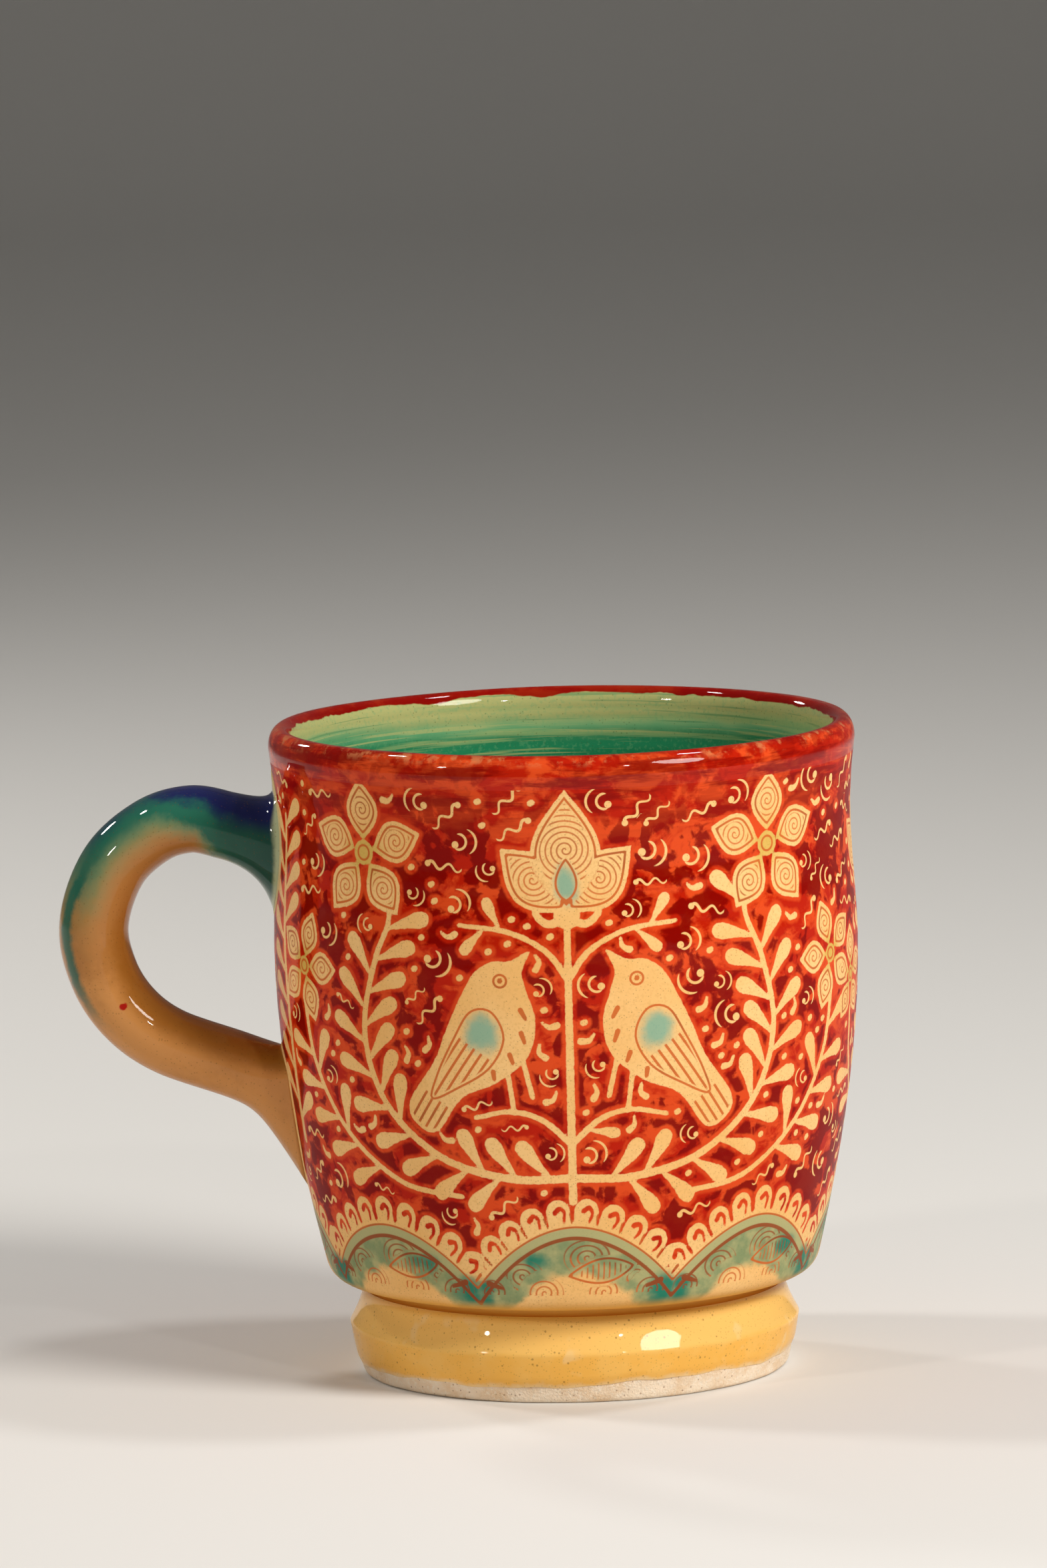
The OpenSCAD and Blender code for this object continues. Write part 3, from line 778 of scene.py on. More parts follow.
def heelProfile(rows):  # flat underside out of the groove, then a quadratic bend up to the wall
    turnR, low = heelR - cup["heelRound"], cup["underZ"]
    corner = (heelR - cup["heelSlope"] * (cup["heelZ"] - low), low)
    turn = bend((turnR, low), corner, (heelR, cup["heelZ"]), np.arange(rows - 3) / (rows - 3))
    return np.concatenate([pair(np.linspace(neckR, turnR, 4)[:3], low), turn])


def wallPiece(name, first):
    # half of the cup's outside as a closed shell: heel, wall up to the band, then back down on the clay
    rows, low, back, far = wall["rows"], wall["heelRows"], wall["backRows"], wall["reach"]
    cols = np.arange(first, first + wall["columns"] // 2 + 1) % wall["columns"]
    backZ = np.linspace(cup["bandZ"], cup["heelZ"] + 1, back - 1)
    profile = np.concatenate([heelProfile(low), wallSkin(gridZ), wallSkin(backZ, cup["coatT"]),
                              [[neckR, cup["underZ"] + cup["coatT"]]]])
    outside = {"reserve": -3.0, "ring": far, "ink": far, "tint": 0,
               **dict.fromkeys(("swirl", "hatch", "curl", "wave"), (0, 0, -far))}
    layers = {}
    for layer, value in outside.items():  # one value on the heel and the back, the drawing between them
        layers[layer] = np.empty((len(profile), *sheet[layer][0, cols].shape))
        layers[layer][:] = value
        layers[layer][low:-back] = sheet[layer][:, cols]
    layers["tint"][:low] = sheet["tint"][:1, cols] * np.linspace(0, 1, low)[:, None, None]
    layers["arch"] = archField(gridS[cols], profile[:, 1:])
    sharp = (0, low + rows - 1, low + rows, len(profile) - 1)
    points = revolved(profile, gridS[cols] / wall["mapR"] - math.pi / 2)
    return gridMesh(name, points, loop=True, halves=True, sharpRows=sharp, **layers)


# paint of the wall: tones, patterns, and lines with their half widths and pitches in mm
paint = {
    "orange": (0.60, 0.115, 0.018), "brown": (0.22, 0.035, 0.008),
    "turquoise": (0.175, 0.42, 0.315), "yellow": (0.54, 0.36, 0.025), "teal": (0.012, 0.205, 0.135),
    "band": (0.35, 0.40, 0.195), "bandDeep": (0.10, 0.25, 0.13),
    "fray": (1300, 2.0), "cloud": (320, 3.0), "drift": (95, 3.0, 0.6, 0.5), "press": (150, 2.0),
    "dabs": (("turquoise", 0.85), ("yellow", 0.6), ("teal", 0.95)),  # with their strength
    "ringHalf": 0.17, "spiralPitch": 0.84, "spiralHalf": 0.125, "featherPitch": 1.15, "featherHalf": 0.18,
    "archLines": ((0.0, 0.16), (-1.75, 0.30)),  # distance from the arch and half width
}


def arcMask(spot, arc):  # part of a circle, thinner towards its ends
    off = vectorCalc("SUBTRACT", spot, (*arc["middle"], 0))
    away, end = vectorCalc("LENGTH", off), math.cos(arc["spread"])
    facing = vectorCalc("DOT_PRODUCT", off, (math.cos(arc["facing"]), math.sin(arc["facing"]), 0)) / away
    half = step(facing, end - 0.2, end + 0.6) * scroll["lineHalf"]
    return line(abs(away - arc["radius"]) - half, 0, scroll["edge"]) * step(facing, end, end + 0.12)


def waveMask(x, y):  # sine line, its distance taken square to the slope, thinner towards the tail
    turn = 2 * math.pi / scroll["pitch"]
    slope = calc("COSINE", x * turn) * (scroll["rise"] * turn)
    off = abs(y - calc("SINE", x * turn) * scroll["rise"]) / calc("SQRT", slope * slope + 1.0)
    half = x * -0.022 + scroll["lineHalf"] * 0.9
    return line(off - half, 0, scroll["edge"]) * step(abs(x), scroll["waveHalf"], scroll["waveHalf"] - 0.15)


def scrollMask():  # where the ground's curls and squiggles are, read in their own axes
    masks = []
    for kind in ("curl", "wave"):
        read = attribute(kind, "Vector")
        x, y, depth = parts(read)
        spot = vectorCalc("MULTIPLY", read, (1, 1, 0))
        away = vectorCalc("DISTANCE", spot, (*scroll[kind + "Head"], 0))
        head = line(away, scroll[kind + "HeadR"], scroll["edge"])
        tails = [arcMask(spot, arc) for arc in scroll["arcs"]] if kind == "curl" else [waveMask(x, y)]
        masks.append(either(head, *tails) * step(depth, 0.0, 0.12))
    return either(*masks)


def paintedColour():
    z, arch, cloudy = heightOf(), attribute("arch"), noise(*paint["cloud"])
    reserve = attribute("reserve") + (noise(*paint["fray"]) * 0.30 - 0.15)
    plain = step(z, 86.0, 95.0)  # the band under the lip
    ground = placed(redSlip, Clear=reserve, Streak=plain, Pool=plain * -0.65 + 0.92)
    # washes under the lines: the green band of the border, then the dabs
    band = step(arch, 0.05, -0.3) * step(arch + (noise(*paint["drift"]) * 9.0 - 4.5), -8.2, -6.4)
    bandTone = mixed(paint["band"], paint["bandDeep"], step(arch, -1.5, -2.2) * step(cloudy, 0.30, 0.62))
    tone = mixed(placed(creamSlip), bandTone, band, 0.82)
    uneven = cloudy * 0.9 - 0.45
    for wash, (key, strength) in zip(parts(attribute("tint", "Vector")), paint["dabs"]):
        tone = mixed(tone, paint[key], step(wash + uneven, 0.05, 0.85) * step(wash, 0.02, 0.35), strength)
    # drawn lines: spirals, feathers, rings at the zero of a distance, strokes and the arch's parallel lines
    x, y, depth = parts(attribute("swirl", "Vector"))
    pitch = paint["spiralPitch"]
    turns = calc("SQRT", x * x + y * y) / pitch - calc("ARCTAN2", y, x) / (2 * math.pi)
    edge, soft = 0.5 - paint["spiralHalf"] / pitch, 0.06 / pitch
    coil = step(abs(calc("FRACT", turns) - 0.5), edge - soft, edge + soft) * step(depth, 0.0, 0.3) * 0.85
    x, y, depth = parts(attribute("hatch", "Vector"))
    off = abs(calc("FRACT", (y + 0.2) / paint["featherPitch"]) - 0.5) * paint["featherPitch"]
    feather = line(off, paint["featherHalf"], 0.06) * step(depth, 0.0, 0.25)
    ring = line(abs(attribute("ring")), paint["ringHalf"], 0.07)
    arches = (line(abs(arch - level), half, 0.08) for level, half in paint["archLines"])
    drawn = either(ring, line(attribute("ink"), 0, 0.07), coil, feather, *arches)
    inBand = step(arch, 0.3, -0.6) * step(arch, -5.4, -4.2)
    pressed = either(step(noise(*paint["press"]), 0.46, 0.68) * 0.5, inBand * 0.8)
    lineTone = mixed(paint["orange"], paint["brown"], pressed)
    lineTone = mixed(lineTone, paint["orange"], step(arch, -4.6, -5.4))
    tone = mixed(tone, lineTone, drawn, 0.9)
    tone = mixed(ground, tone, either(step(reserve, 0.08, -0.11), scrollMask()))
    return mixed(tone, amber["pool"], step(z, 16.6, 14.7), 0.9)


paintedGlaze = glossy("painted_glaze", paintedColour)
settle(wallPiece("painted_wall_front", 0), "outer_coat", paintedGlaze)
settle(wallPiece("painted_wall_back", wall["columns"] // 2), "outer_coat", paintedGlaze)

# red lip: over the rim and a little way down inside
lip = {
    "columns": 384, "outRows": 7, "roundRows": 30, "inRows": 42, "backRows": 10,
    "redEdge": 2.1, "edgeWander": 1.5, "ringPitch": 3.4, "ringDepth": 0.07,
    "waver": 0.10,  # how far the crest rises and falls
    "wear": (420, 4.0, 0.65), "worn": (0.66, 0.24, 0.09), "drift": (70, 4.0, 0.6, 0.6),
}


def lipArc(depth, count):  # half ellipse over the wall's thickness
    a, half = np.linspace(0, math.pi, count), cup["wallT"] / 2
    r = cup["rimR"] - half + (half - depth) * np.cos(a)
    return pair(r, rimZ + (cup["lipRise"] - depth) * np.sin(a))


def rimPiece():
    t, wallT, dipZ = cup["coatT"], cup["wallT"], cup["dipZ"]
    outZ = np.linspace(cup["bandZ"], rimZ, lip["outRows"])[:-1]
    inZ = np.linspace(rimZ, dipZ, lip["inRows"])[1:]
    face = np.concatenate([wallSkin(outZ), lipArc(0, lip["roundRows"]), wallSkin(inZ, wallT)])
    crest = lipArc(t, lip["backRows"])[::-1]
    back = np.concatenate([wallSkin(inZ[::-8], wallT - t), crest, wallSkin(outZ[::-3], t)])
    run = runAlong(face)
    past = run - run[np.argmax(face[:, 1])]  # mm along the profile from the crest, positive going in
    theta = roundAngles(lip["columns"])
    points = revolved(np.concatenate([face, back]), theta)
    waver = lip["waver"] * (np.sin(2 * theta + 0.4) + 0.5 * np.sin(5 * theta))
    points[..., 2] += waver * smoothStep(95, 100, points[..., 2])
    points[..., 2] = np.minimum(points[..., 2], cup["crestZ"])
    inner = points[len(outZ) + lip["roundRows"]:len(face)]
    z = inner[..., 2]
    rings = lip["ringDepth"] * np.sin(2 * math.pi * z / lip["ringPitch"] + theta)
    rings = rings * smoothStep(rimZ, rimZ - 2, z) * smoothStep(dipZ, dipZ + 2, z)
    inner[..., :2] *= (1 + rings / cup["rimR"])[..., None]
    past = np.append(past, np.full(len(back), -5.0))[:, None]
    return gridMesh("red_rim", points, loop=True, sharpRows=(0, len(face) - 1, len(face), len(points) - 1),
                    past=np.broadcast_to(past, points.shape[:2]))


def rimColour():
    past = attribute("past")
    worn = step(noise(*lip["wear"]), 0.50, 0.64) * step(past, -2.8, -0.8) * step(past, 1.1, 0.1)
    tone = mixed(placed(redSlip, Clear=1.0, Streak=1.0, Pool=0.35), lip["worn"], worn, 0.75)
    tone = mixed(tone, red["dark"], step(past, -1.6, 0.6), 0.82)
    edge = past + (noise(*lip["drift"]) * (2 * lip["edgeWander"]) - lip["edgeWander"])
    return mixed(tone, placed(greenGlaze), step(edge, lip["redEdge"] - 0.12, lip["redEdge"] + 0.12))


settle(rimPiece(), "rim_coat", glossy("red_glaze", rimColour, coat=0.8))

# green lining: wall, round and floor of the inside, with the rings left by throwing
lining = {
    "columns": 300, "face": (70, 16, 14), "back": (14, 5, 3),  # rows of wall, round and floor
    "ringPitch": 4.6, "ringDepth": 0.16, "coilDepth": 0.22,
}


def liningFace(depth, wallRows, roundRows, floorRows):  # from the middle of the floor up to the red lip
    bendR, roundZ, floorZ = cup["floorRound"], cup["floorZ"] + cup["floorRound"], cup["floorZ"] - depth
    r = float(wallRadius(roundZ)) - cup["wallT"] + depth
    flat = pair(np.linspace(0.4, r - bendR, floorRows), floorZ)
    turn = bend((r - bendR, floorZ), (r - cup["heelSlope"] * bendR, floorZ), (r, roundZ),
                np.linspace(0, 1, roundRows + 2)[1:-1])
    side = wallSkin(np.linspace(roundZ, cup["dipZ"], wallRows), cup["wallT"] - depth)
    return np.concatenate([flat, turn, side])


def liningPiece():
    face, back = liningFace(0.0, *lining["face"]), liningFace(cup["coatT"], *lining["back"])[::-1]
    theta, floorZ, dipZ = roundAngles(lining["columns"]), cup["floorZ"], cup["dipZ"]
    points = revolved(np.concatenate([face, back]), theta)
    z, r = points[..., 2], np.hypot(points[..., 0], points[..., 1])
    fade = smoothStep(dipZ, dipZ - 5, z) * smoothStep(floorZ, floorZ + 8, z)
    rings = lining["ringDepth"] * np.sin(2 * math.pi * z / lining["ringPitch"] + theta) * fade
    points[..., :2] *= (1 + rings / r)[..., None]
    coil = lining["coilDepth"] * np.cos(r * 0.9 - theta) * smoothStep(26, 10, r)  # spiral on the floor
    points[..., 2] += coil * (np.abs(z - floorZ) < 0.01)
    poles = [(0, 0, floorZ + 0.2), (0, 0, floorZ - cup["coatT"])]
    return gridMesh("green_lining", points, poles=poles, sharpRows=(len(face) - 1, len(face)))


greenMaterial = glossy("green_glaze", lambda: placed(greenGlaze), coat=0.9)
settle(liningPiece(), "inner_coat", greenMaterial)

# foot: bare ring, its glaze and the slip in the groove
foot = {
    "columns": 360, "boreR": 26.0, "bevel": 0.8, "riseSlope": 0.7, "fallSlope": 1.5, "topSlope": 0.2,
    "glazeRows": 46, "backRows": 9, "thin": 1.6, "edgeZ": 2.25, "edgeTilt": 0.75,
    "edgeWaves": ((0.22, 5, 1), (0.13, 13, 0), (0.08, 29, 2)),  # height, waves round and turn
    "facet": (120, 3.0), "patches": (160, 4.0, 0.6), "spots": (190, 2.0), "rag": (520, 3.0),
}
bare = {"pale": (0.90, 0.75, 0.58), "warm": (0.80, 0.58, 0.37), "chalk": (0.92, 0.84, 0.72),
        "grit": (0.25, 0.12, 0.05), "body": (240, 4.0), "dry": (1900, 2.0)}
footTheta = roundAngles(foot["columns"])


def footRadius(z):  # two cubics: out from the base to the ridge, and in to the top
    z = np.asarray(z, float)
    ridgeR, ridgeZ, rise, fall = cup["ridgeR"], cup["ridgeZ"], cup["baseInset"], -cup["topInset"]
    below = cubic(ridgeR - rise, ridgeR, rise, foot["riseSlope"] * rise, z / ridgeZ)
    above = cubic(ridgeR, ridgeR + fall, foot["fallSlope"] * fall, foot["topSlope"] * fall,
                  (z - ridgeZ) / (cup["footZ"] - ridgeZ))
    return np.where(z < ridgeZ, below, above)


def footRingPiece():  # bore, rounded standing edge and outside under the glaze
    b, boreR, footZ, t = foot["bevel"], foot["boreR"], cup["footZ"], cup["coatT"]
    standR, edgeR = float(footRadius(0)) - t, float(footRadius(b)) - t
    sideZ, turn = np.linspace(b, footZ, 22), np.linspace(0, 1, 8)[1:-1]
    profile = np.concatenate([
        pair(boreR, np.linspace(footZ, b, 10)), bend((boreR, b), (boreR, 0), (boreR + b, 0), turn),
        pair(np.linspace(boreR + b, standR - b, 5), 0.0),
        bend((standR - b, 0), (standR, 0), (edgeR, b), turn),
        pair(footRadius(sideZ) - t, sideZ)])
    points = revolved(profile, footTheta)
    z, r = points[..., 2], np.hypot(points[..., 0], points[..., 1])
    lumps = 0.05 * np.sin(9 * footTheta + z) + 0.04 * np.sin(23 * footTheta - 2 * z)
    points[..., :2] *= (1 + lumps / r)[..., None]
    return gridMesh("bare_foot", points, loop=True, sharpRows=(0, len(profile) - 1))


def footGlazePiece():  # shell from a wandering lower edge, where it thins out, up to the groove
    rows, back = foot["glazeRows"], foot["backRows"]
    edge = foot["edgeZ"] + foot["edgeTilt"] * np.cos(footTheta + 0.75)
    edge = edge + sum(rise * np.sin(waves * footTheta + turn) for rise, waves, turn in foot["edgeWaves"])
    up = np.append(np.linspace(0, 1, rows) ** 1.25, np.linspace(1, 0, back))[:, None]
    z = edge + (cup["footZ"] - edge) * up
    depth = np.full(z.shape, cup["coatT"] + 0.02)
    depth[:rows] = 0.95 * cup["coatT"] * (1 - smoothStep(-0.5, foot["thin"], (z - edge)[:rows]))
    points, sharp = revolved(pair(footRadius(z) - depth, z), footTheta), (rows - 1, rows, rows + back - 1)
    return gridMesh("foot_glaze", points, loop=True, sharpRows=sharp, above=z - edge)


def grooveSlipPiece():  # two bends make a hollow fillet between the foot and the heel, on the ring of slip
    low, high, t = cup["footZ"], cup["underZ"], np.linspace(0, 1, 7)
    middle, bondZ, bondR = (neckR + 0.14, (low + high) / 2), low + 0.4, foot["boreR"] + 0.9
    profile = np.concatenate([
        bend((topR, low - 0.05), (neckR + 0.12, low + 0.2), middle, t),
        bend(middle, (neckR + 0.16, high - 0.15), (neckR + 1.3, high + 0.03), t)[1:],
        [(neckR - 0.2, high + 0.03), (neckR - 0.2, bondZ), (bondR, bondZ), (bondR, low)]])
    return gridMesh("groove_slip", revolved(profile, footTheta), loop=True, sharpRows=(0, 12, 13, 14, 15, 16))


def clayColour():
    tone = mixed(bare["pale"], bare["warm"], step(noise(*bare["body"]), 0.35, 0.7))
    tone = mixed(tone, bare["chalk"], step(noise(*bare["dry"]), 0.52, 0.68), 0.5)
    return mixed(tone, bare["grit"], placed(specks, Scale=1700.0, Share=0.25), 0.6)


def footGlazeColour():
    z, ridgeZ = heightOf(), cup["ridgeZ"]
    facet = step(noise(*foot["facet"]) * 1.2 + z, ridgeZ + 1.1, ridgeZ - 0.1)
    tone = mixed(amber["honey"], amber["deep"], facet)
    tone = mixed(tone, amber["honey"], step(noise(*foot["patches"]), 0.42, 0.66), 0.45)
    tone = mixed(tone, amber["pale"], step(noise(*foot["spots"]), 0.63, 0.72), 0.4)
    tone = mixed(tone, amber["pool"], step(z, 11.8, 13.2))
    tone = mixed(tone, amber["edge"], step(noise(*foot["rag"]) * 1.6 + attribute("above"), 1.7, 0.7), 0.8)
    tone = mixed(tone, amber["dust"], placed(specks, Scale=2600.0, Share=0.40), 0.3)
    return mixed(tone, amber["grains"], placed(specks, Scale=1500.0, Share=0.08), 0.5)


def slipColour():  # cream with a green tinge at the upper root, amber in the groove
    z = heightOf()
    tone = mixed(placed(creamSlip), (0.46, 0.50, 0.28), step(z, 60.0, 72.0), 0.5)
    return mixed(tone, amber["pool"], step(z, 24.0, 18.0))


clay = finish("bare_clay", clayColour, lambda: noise(700, 5.0, 0.7) + noise(2600, 2.0), (0.55, 0.00035),
              {"Roughness": 0.88, "IOR": 1.45})
slipGlaze = glossy("glazed_slip", slipColour)
settle(footRingPiece(), "foot_ring", clay)
settle(footGlazePiece(), "foot_coat", glossy("amber_glaze", footGlazeColour, coat=0.8))
settle(grooveSlipPiece(), "foot_slip_ring", slipGlaze)
for name in ("cup_body", "handle"):  # these keep their solids, under the coats
    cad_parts[name].data.materials.clear()
    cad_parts[name].data.materials.append(clay)

# handle: a flat oval carried along a loop, flared on to the wall at both ends
handle = {
    "sides": 72, "spanRows": 12, "rootRows": 30, "landing": 0.12, "grip": 0.12,
    "reach": 32.8, "drop": 8.8, "lowZ": 47.8, "thick": 10.5, "wide": 14.0,
    "upper": {"sag": 2.6, "high": 21.6, "wide": 17.0, "turn": 0.9, "pull": 0.8},
    "lower": {"sag": 1.2, "rise": 3.9, "tail": 17.6, "wide": 14.6, "turn": 0.72, "pull": 1.6},
    "dabAt": (-67.8, -6.9, 58.2), "dabSize": 0.55,  # a spot of red that fell on the lower arm
    # middle line from the upper to the lower root, as shares of the loop's reach and height
    "loop": [(0.253, 0.971), (0.446, 1), (0.665, 0.958), (0.88, 0.82), (1, 0.585),
             (0.956, 0.381), (0.814, 0.219), (0.588, 0.097), (0.235, 0)],
    # cushion of slip at a root: shares of its outline with their height, down to its underside
    "slipMargin": 0.8, "slipShares": (0.25, 0.5, 0.75, 0.88, 0.94, 0.98, 1.0, 0.97, 0.7, 0.35),
    "slipLifts": (0.22, 0.22, 0.22, 0.20, 0.15, 0.05, -0.08, -0.36, -0.36, -0.36),
}
strapAngle = roundAngles(handle["sides"])  # 90 degrees is the outer side


def loopPath():  # curve through the loop's points, with its directions
    half = handle["thick"] / 2
    size = [handle["reach"] - half, cup["crestZ"] - handle["drop"] - half - handle["lowZ"]]
    points = np.array(handle["loop"]) * size + [cup["bellyR"], handle["lowZ"]]
    path = smoothPath(points, handle["spanRows"], lead=0)
    way = np.gradient(path, axis=0)
    return path, way / np.linalg.norm(way, axis=1)[:, None]


def onWall(y, z, out=0.0):  # a point of the handle's side of the wall
    r = wallRadius(z) + out
    return np.stack(np.broadcast_arrays(-np.sqrt(r**2 - y**2), y, z), -1)


def rootOutline(which, margin=0.0):  # upper root is an ellipse, the lower one has a long tail below
    root, c, s = handle[which], np.cos(strapAngle), np.sin(strapAngle)
    y = (root["wide"] / 2 + margin) * c
    if which == "upper":
        return y, loopPath()[0][0, 1] - root["sag"] + (root["high"] / 2 + margin) * s
    return y, handle["lowZ"] - root["sag"] - (np.where(s > 0, root["tail"], root["rise"]) + margin) * s


def flare(which, ring, at, heading):
    # bends from the strap along its own direction and on to the wall, pulled to the corner on the outer side
    run = (at[0] - float(wallRadius(at[1]))) * handle[which]["turn"]
    corner = ring + np.array([-heading[0] * run, 0, heading[1] * run])
    landed = onWall(*rootOutline(which, handle["grip"]), handle["landing"])
    t = np.linspace(0, 1, handle["rootRows"])[1:, None, None]
    pull = 1 + handle[which]["pull"] * np.maximum(np.sin(strapAngle)[:, None], 0)
    a, b, c = (1 - t) ** 2, 2 * t * (1 - t) * pull, t**2
    return (ring * a + corner * b + landed * c) / (a + b + c)


def handlePiece():
    path, way = loopPath()
    lift, y = handle["thick"] / 2 * np.sin(strapAngle), handle["wide"] / 2 * np.cos(strapAngle)
    x, z = -path[:, :1] + way[:, 1:] * lift, path[:, 1:] + way[:, :1] * lift
    strap = np.stack(np.broadcast_arrays(x, y, z), -1)
    points = np.concatenate([flare("upper", strap[0], path[0], -way[0])[::-1], strap,
                             flare("lower", strap[-1], path[-1], way[-1])])
    middle = points.mean(1)
    run = runAlong(middle)
    share = (run / run[-1])[:, None]
    hand = 0.10 * np.sin(9 * share + 2 * strapAngle) + 0.07 * np.sin(23 * share - strapAngle)
    hand = hand * smoothStep(0, 0.1, share) * smoothStep(1, 0.9, share)
    out = points - middle[:, None]
    points = points + out / np.linalg.norm(out, axis=-1, keepdims=True) * hand[..., None]
    shares, across = np.broadcast_arrays(share, (1 - np.sin(strapAngle)) / 2)  # across is 0 on the outer side
    middles = (rootOutline(which)[1].mean() for which in ("upper", "lower"))
    poles = [onWall(np.zeros(1), z, handle["landing"])[0] for z in middles]
    return gridMesh("washed_handle", points, poles=poles, share=shares, across=across,
                    fromWall=runAlong(points))


handlePaint = {
    # amber also carries painted shade on the handle's inner side
    # pale also serves as painted light, lightening the lower arm where light falls on it
    "tan": (0.43, 0.18, 0.045), "pale": (0.62, 0.275, 0.078), "amber": (0.36, 0.135, 0.018),
    "pooled": (0.40, 0.165, 0.02), "cobalt": (0.009, 0.013, 0.080), "teal": (0.008, 0.120, 0.080),
    # deep is teal darkened as painted shade at the upper root
    "deep": (0.004, 0.048, 0.043), "mist": (0.15, 0.255, 0.125), "thin": (0.50, 0.55, 0.32),
    "dab": (0.42, 0.012, 0.006), "dust": (0.12, 0.06, 0.015),
    "cloud": (150, 5.0, 0.66, 0.3), "patches": (70, 3.0), "mottle": (700, 4.0, 0.7), "rag": (900, 2.0),
}


def handleColour():
    cloudy = noise(*handlePaint["cloud"]) * 0.50 - 0.25
    share, across = attribute("share") + cloudy * 0.20, attribute("across") + cloudy * 0.50
    # painted light: the lower arm is mixed towards pale where light falls on it; random patches and a fine
    # mottle mix the same two tones
    paintedLightAndPatches = step(share, 0.46, 0.66) * 0.75 + step(noise(*handlePaint["patches"]), 0.40, 0.85)
    paintedLightAndPatches = noise(*handlePaint["mottle"]) * 0.9 + (paintedLightAndPatches - 0.45)
    tone = mixed(handlePaint["tan"], handlePaint["pale"], step(paintedLightAndPatches, 0.0, 1.0))
    # amber on the inner side, wider down the lower arm: pooled glaze, darkened further as painted shade where
    # the cup shades the inner face; and pooled glaze on top of the lower root
    inner = step(share, 0.35, 0.66) * 0.20 + across
    tone = mixed(tone, handlePaint["amber"], step(inner, 0.74, 1.0) * step(share, 0.26, 0.44), 0.9)
    tone = mixed(tone, handlePaint["pooled"], step(share, 0.88, 0.93) * step(across, 0.58, 0.82), 0.75)
    # teal: a wash over the outer side that runs down the upper root and thins to a stripe lower down
    slant = across * across * 0.06 + share
    wide = step(slant, 0.25, 0.09) * 0.72 + 0.46 - across
    tone = mixed(tone, handlePaint["mist"], step(wide, -0.30, 0.20) * step(share, 0.52, 0.34), 0.85)
    # painted shade: the teal darkens towards the upper root, which sits in shade
    wash = mixed(handlePaint["teal"], handlePaint["deep"], step(slant, 0.17, 0.05), 0.75)
    tone = mixed(tone, wash, step(wide, -0.02, 0.34) * step(share, 0.48, 0.30), 0.94)
    stripe = line(abs(across - 0.14), 0.07, 0.04) * step(share, 0.30, 0.40) * step(share, 0.66, 0.54)
    tone = mixed(tone, handlePaint["teal"], stripe, 0.9)
    # cobalt: along the top edge, pooled at the root
    pool = step(slant, 0.25, 0.08) * 0.35 + 0.01
    tone = mixed(tone, handlePaint["cobalt"], step(pool - across, -0.14, 0.15) * step(share, 0.38, 0.28))
    # the washes thin out to a pale strip along the wall, and one red dab
    edge = attribute("fromWall") + cloudy * 3.0
    tone = mixed(tone, handlePaint["thin"], step(edge, 1.9, 0.6), 0.85)
    away = vectorCalc("DISTANCE", place(), tuple(v * mm for v in handle["dabAt"]))
    ragged = noise(*handlePaint["rag"]) * 0.0008 + away
    dab = line(ragged, (handle["dabSize"] + 0.40) * mm, 0.15 * mm)
    tone = mixed(tone, handlePaint["dab"], dab)
    return mixed(tone, handlePaint["dust"], placed(specks, Scale=2300.0, Share=0.30), 0.34)


def padPiece(name, which):  # low cushion of slip on the wall: its outline shrunk to the middle in steps
    y, z = rootOutline(which, handle["slipMargin"])
    midZ = z[np.argmax(np.abs(y))]
    shares, lifts = (np.array(handle[key])[:, None] for key in ("slipShares", "slipLifts"))
    points = onWall(shares * y, midZ + shares * (z - midZ), lifts)
    poles = [onWall(np.zeros(1), midZ, out)[0] for out in (lifts[0], lifts[-1])]
    return gridMesh(name, points, poles=poles)


settle(handlePiece(), "handle_coat", glossy("washed_glaze", handleColour, coat=1.0))
settle(padPiece("upper_root_slip", "upper"), "upper_slip_pad", slipGlaze)
settle(padPiece("lower_root_slip", "lower"), "lower_slip_pad", slipGlaze)

# camera at the photograph's angle: place in mm, pitch and roll in degrees
view = {"place": (-5.96, -1492.0, 285.9), "pitch": 7.473, "roll": 1.359, "lens": 225.63, "sensor": 36.0}


def posed(across, up, back, at):  # matrix of three axes and a place in mm
    matrix = np.eye(4)
    matrix[:3] = np.stack([across, up, back, np.array(at) * mm], 1)
    return Matrix(matrix.tolist())


pitch, roll = math.radians(view["pitch"]), math.radians(view["roll"])
right, up = np.array([1.0, 0, 0]), np.array([0, math.sin(pitch), math.cos(pitch)])
camera = bpy.data.objects.new("camera", bpy.data.cameras.new("camera"))
camera.data.lens, camera.data.sensor_width = view["lens"], view["sensor"]
camera.data.clip_start, camera.data.clip_end = 0.05, 20.0
camera.matrix_world = posed(
    math.cos(roll) * right - math.sin(roll) * up, math.sin(roll) * right + math.cos(roll) * up,
    [0, -math.cos(pitch), math.sin(pitch)], view["place"])
scene.collection.objects.link(camera)
scene.camera = camera

# stage: pale round floor that sweeps up on all sides, well behind where a camera stands; sizes in metres
stage = {"flat": 2.4, "sweep": 1.4, "height": 3.2, "columns": 128, "rows": 24, "tone": (0.74, 0.73, 0.71)}


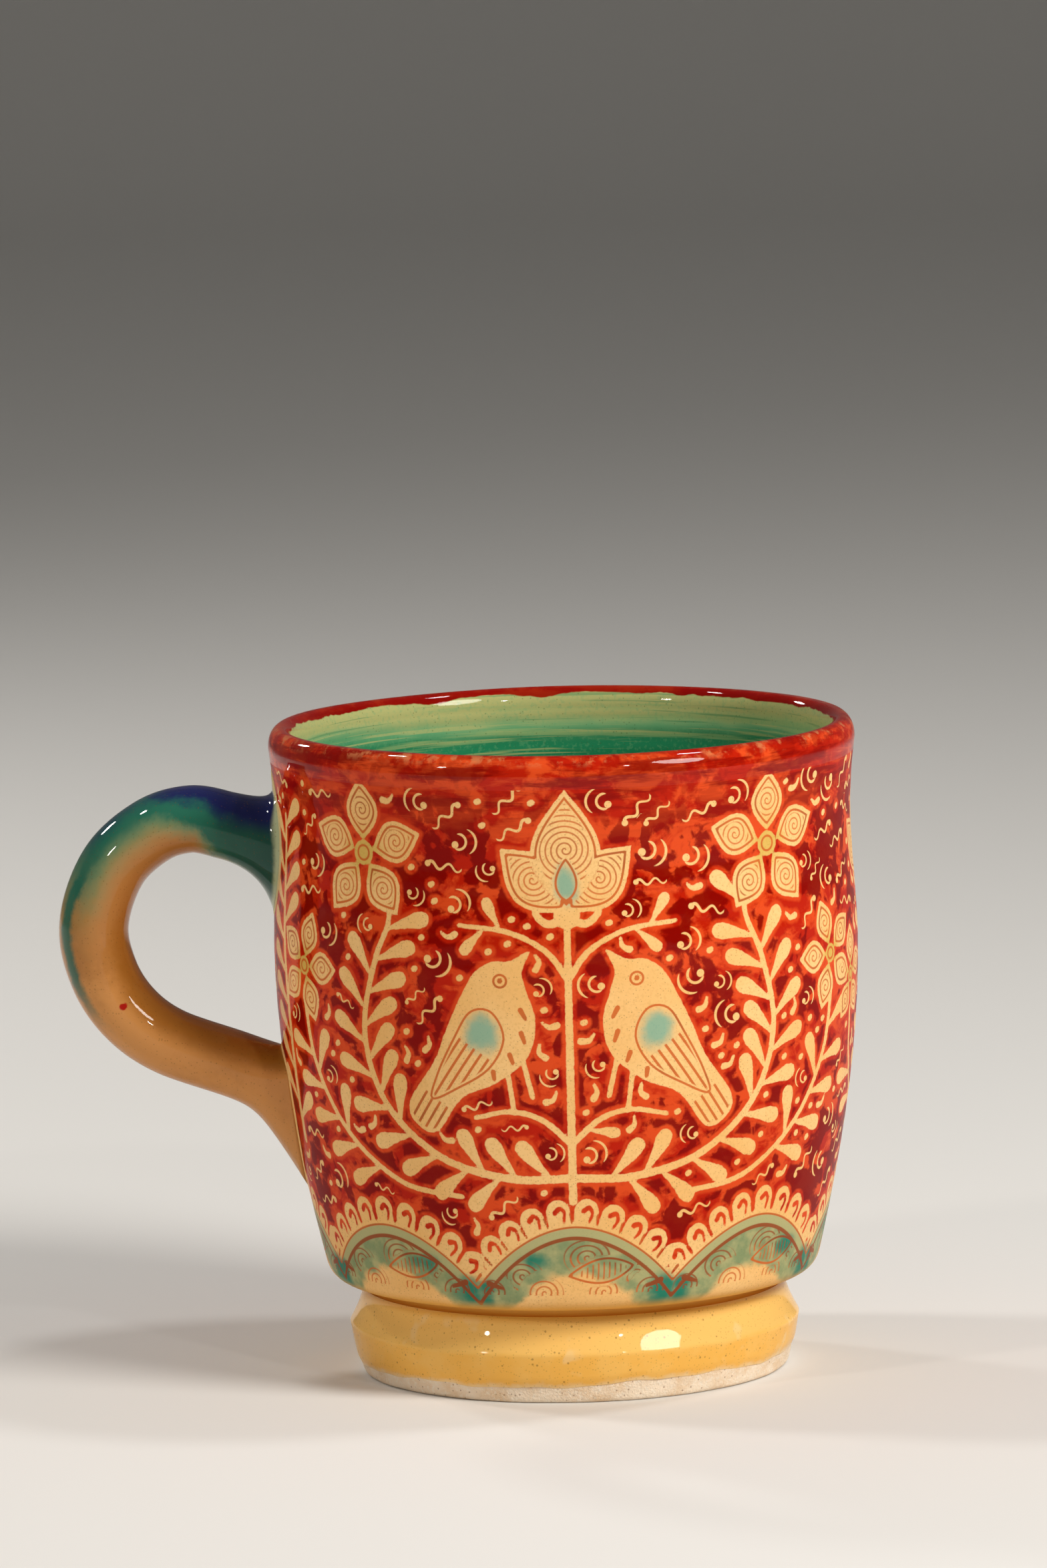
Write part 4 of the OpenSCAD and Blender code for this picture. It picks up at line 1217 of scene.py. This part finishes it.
def stageSheet():  # flat disc, then a quarter circle and a straight wall carried round the middle
    a, turn = np.linspace(0, math.pi / 2, stage["rows"]), roundAngles(stage["columns"])
    r = np.append(stage["flat"] + stage["sweep"] * np.sin(a), stage["flat"] + stage["sweep"])[:, None]
    z = np.append(stage["sweep"] * (1 - np.cos(a)), stage["height"])[:, None]
    points = np.stack(np.broadcast_arrays(r * np.cos(turn), r * np.sin(turn), z), -1)
    index = np.arange(len(r) * len(turn)).reshape(len(r), -1)
    sides = corners(np.append(index, index[:, :1], 1))[..., ::-1].reshape(-1, 4)
    mesh = bpy.data.meshes.new("floor")
    mesh.from_pydata(points.reshape(-1, 3).tolist(), [], [index[0].tolist(), *sides.tolist()])
    mesh.shade_smooth()
    return bpy.data.objects.new("floor", mesh)


floor = stageSheet()
scene.collection.objects.link(floor)
paper = bpy.data.materials.new("floor_paper")
paper.use_nodes = True
for key, value in {"Base Color": (*stage["tone"], 1), "Roughness": 0.9, "Specular IOR Level": 0.1}.items():
    paper.node_tree.nodes["Principled BSDF"].inputs[key].default_value = value
floor.data.materials.append(paper)

# lamps, all aimed at one point: place and size in mm, power in watts
lampAim = np.array([-8, 0, 52])
lamps = {
    "key": {"place": (700, -580, 690), "size": 380, "power": 10.0, "tone": (1, 0.96, 0.90)},
    "fill": {"place": (-760, -640, 520), "size": 80, "power": 1.8, "tone": (1, 0.90, 0.80)},
    "sparkRight": {"place": (430, -900, 660), "size": 46, "power": 0.9, "tone": (1, 0.97, 0.93)},
    "sparkLeft": {"place": (-574, 171, 900), "size": 100, "power": 2.2, "tone": (1, 0.97, 0.93)},
    "sparkBack": {"place": (-600, 690, 520), "size": 100, "power": 2.0, "tone": (1, 0.97, 0.93)},
    "top": {"place": (440, 60, 960), "size": 110, "power": 2.0, "tone": (1, 1, 1)},
}
for name, lamp in lamps.items():
    light = bpy.data.lights.new(name, "AREA")
    light.shape, light.size = "DISK", lamp["size"] * mm
    light.energy, light.color = lamp["power"], lamp["tone"]
    back = np.array(lamp["place"]) - lampAim
    back = back / np.linalg.norm(back)
    across = np.cross([0, 0, 1], back)
    across = across / np.linalg.norm(across)
    shown = bpy.data.objects.new(name, light)
    shown.matrix_world = posed(across, np.cross(back, across), back, lamp["place"])
    scene.collection.objects.link(shown)

world = bpy.data.worlds.new("studio")
world.use_nodes = True
world.node_tree.nodes["Background"].inputs["Color"].default_value = (0.96, 0.94, 0.90, 1)
world.node_tree.nodes["Background"].inputs["Strength"].default_value = 0.15
scene.world = world
print("stage, lamps and camera set")
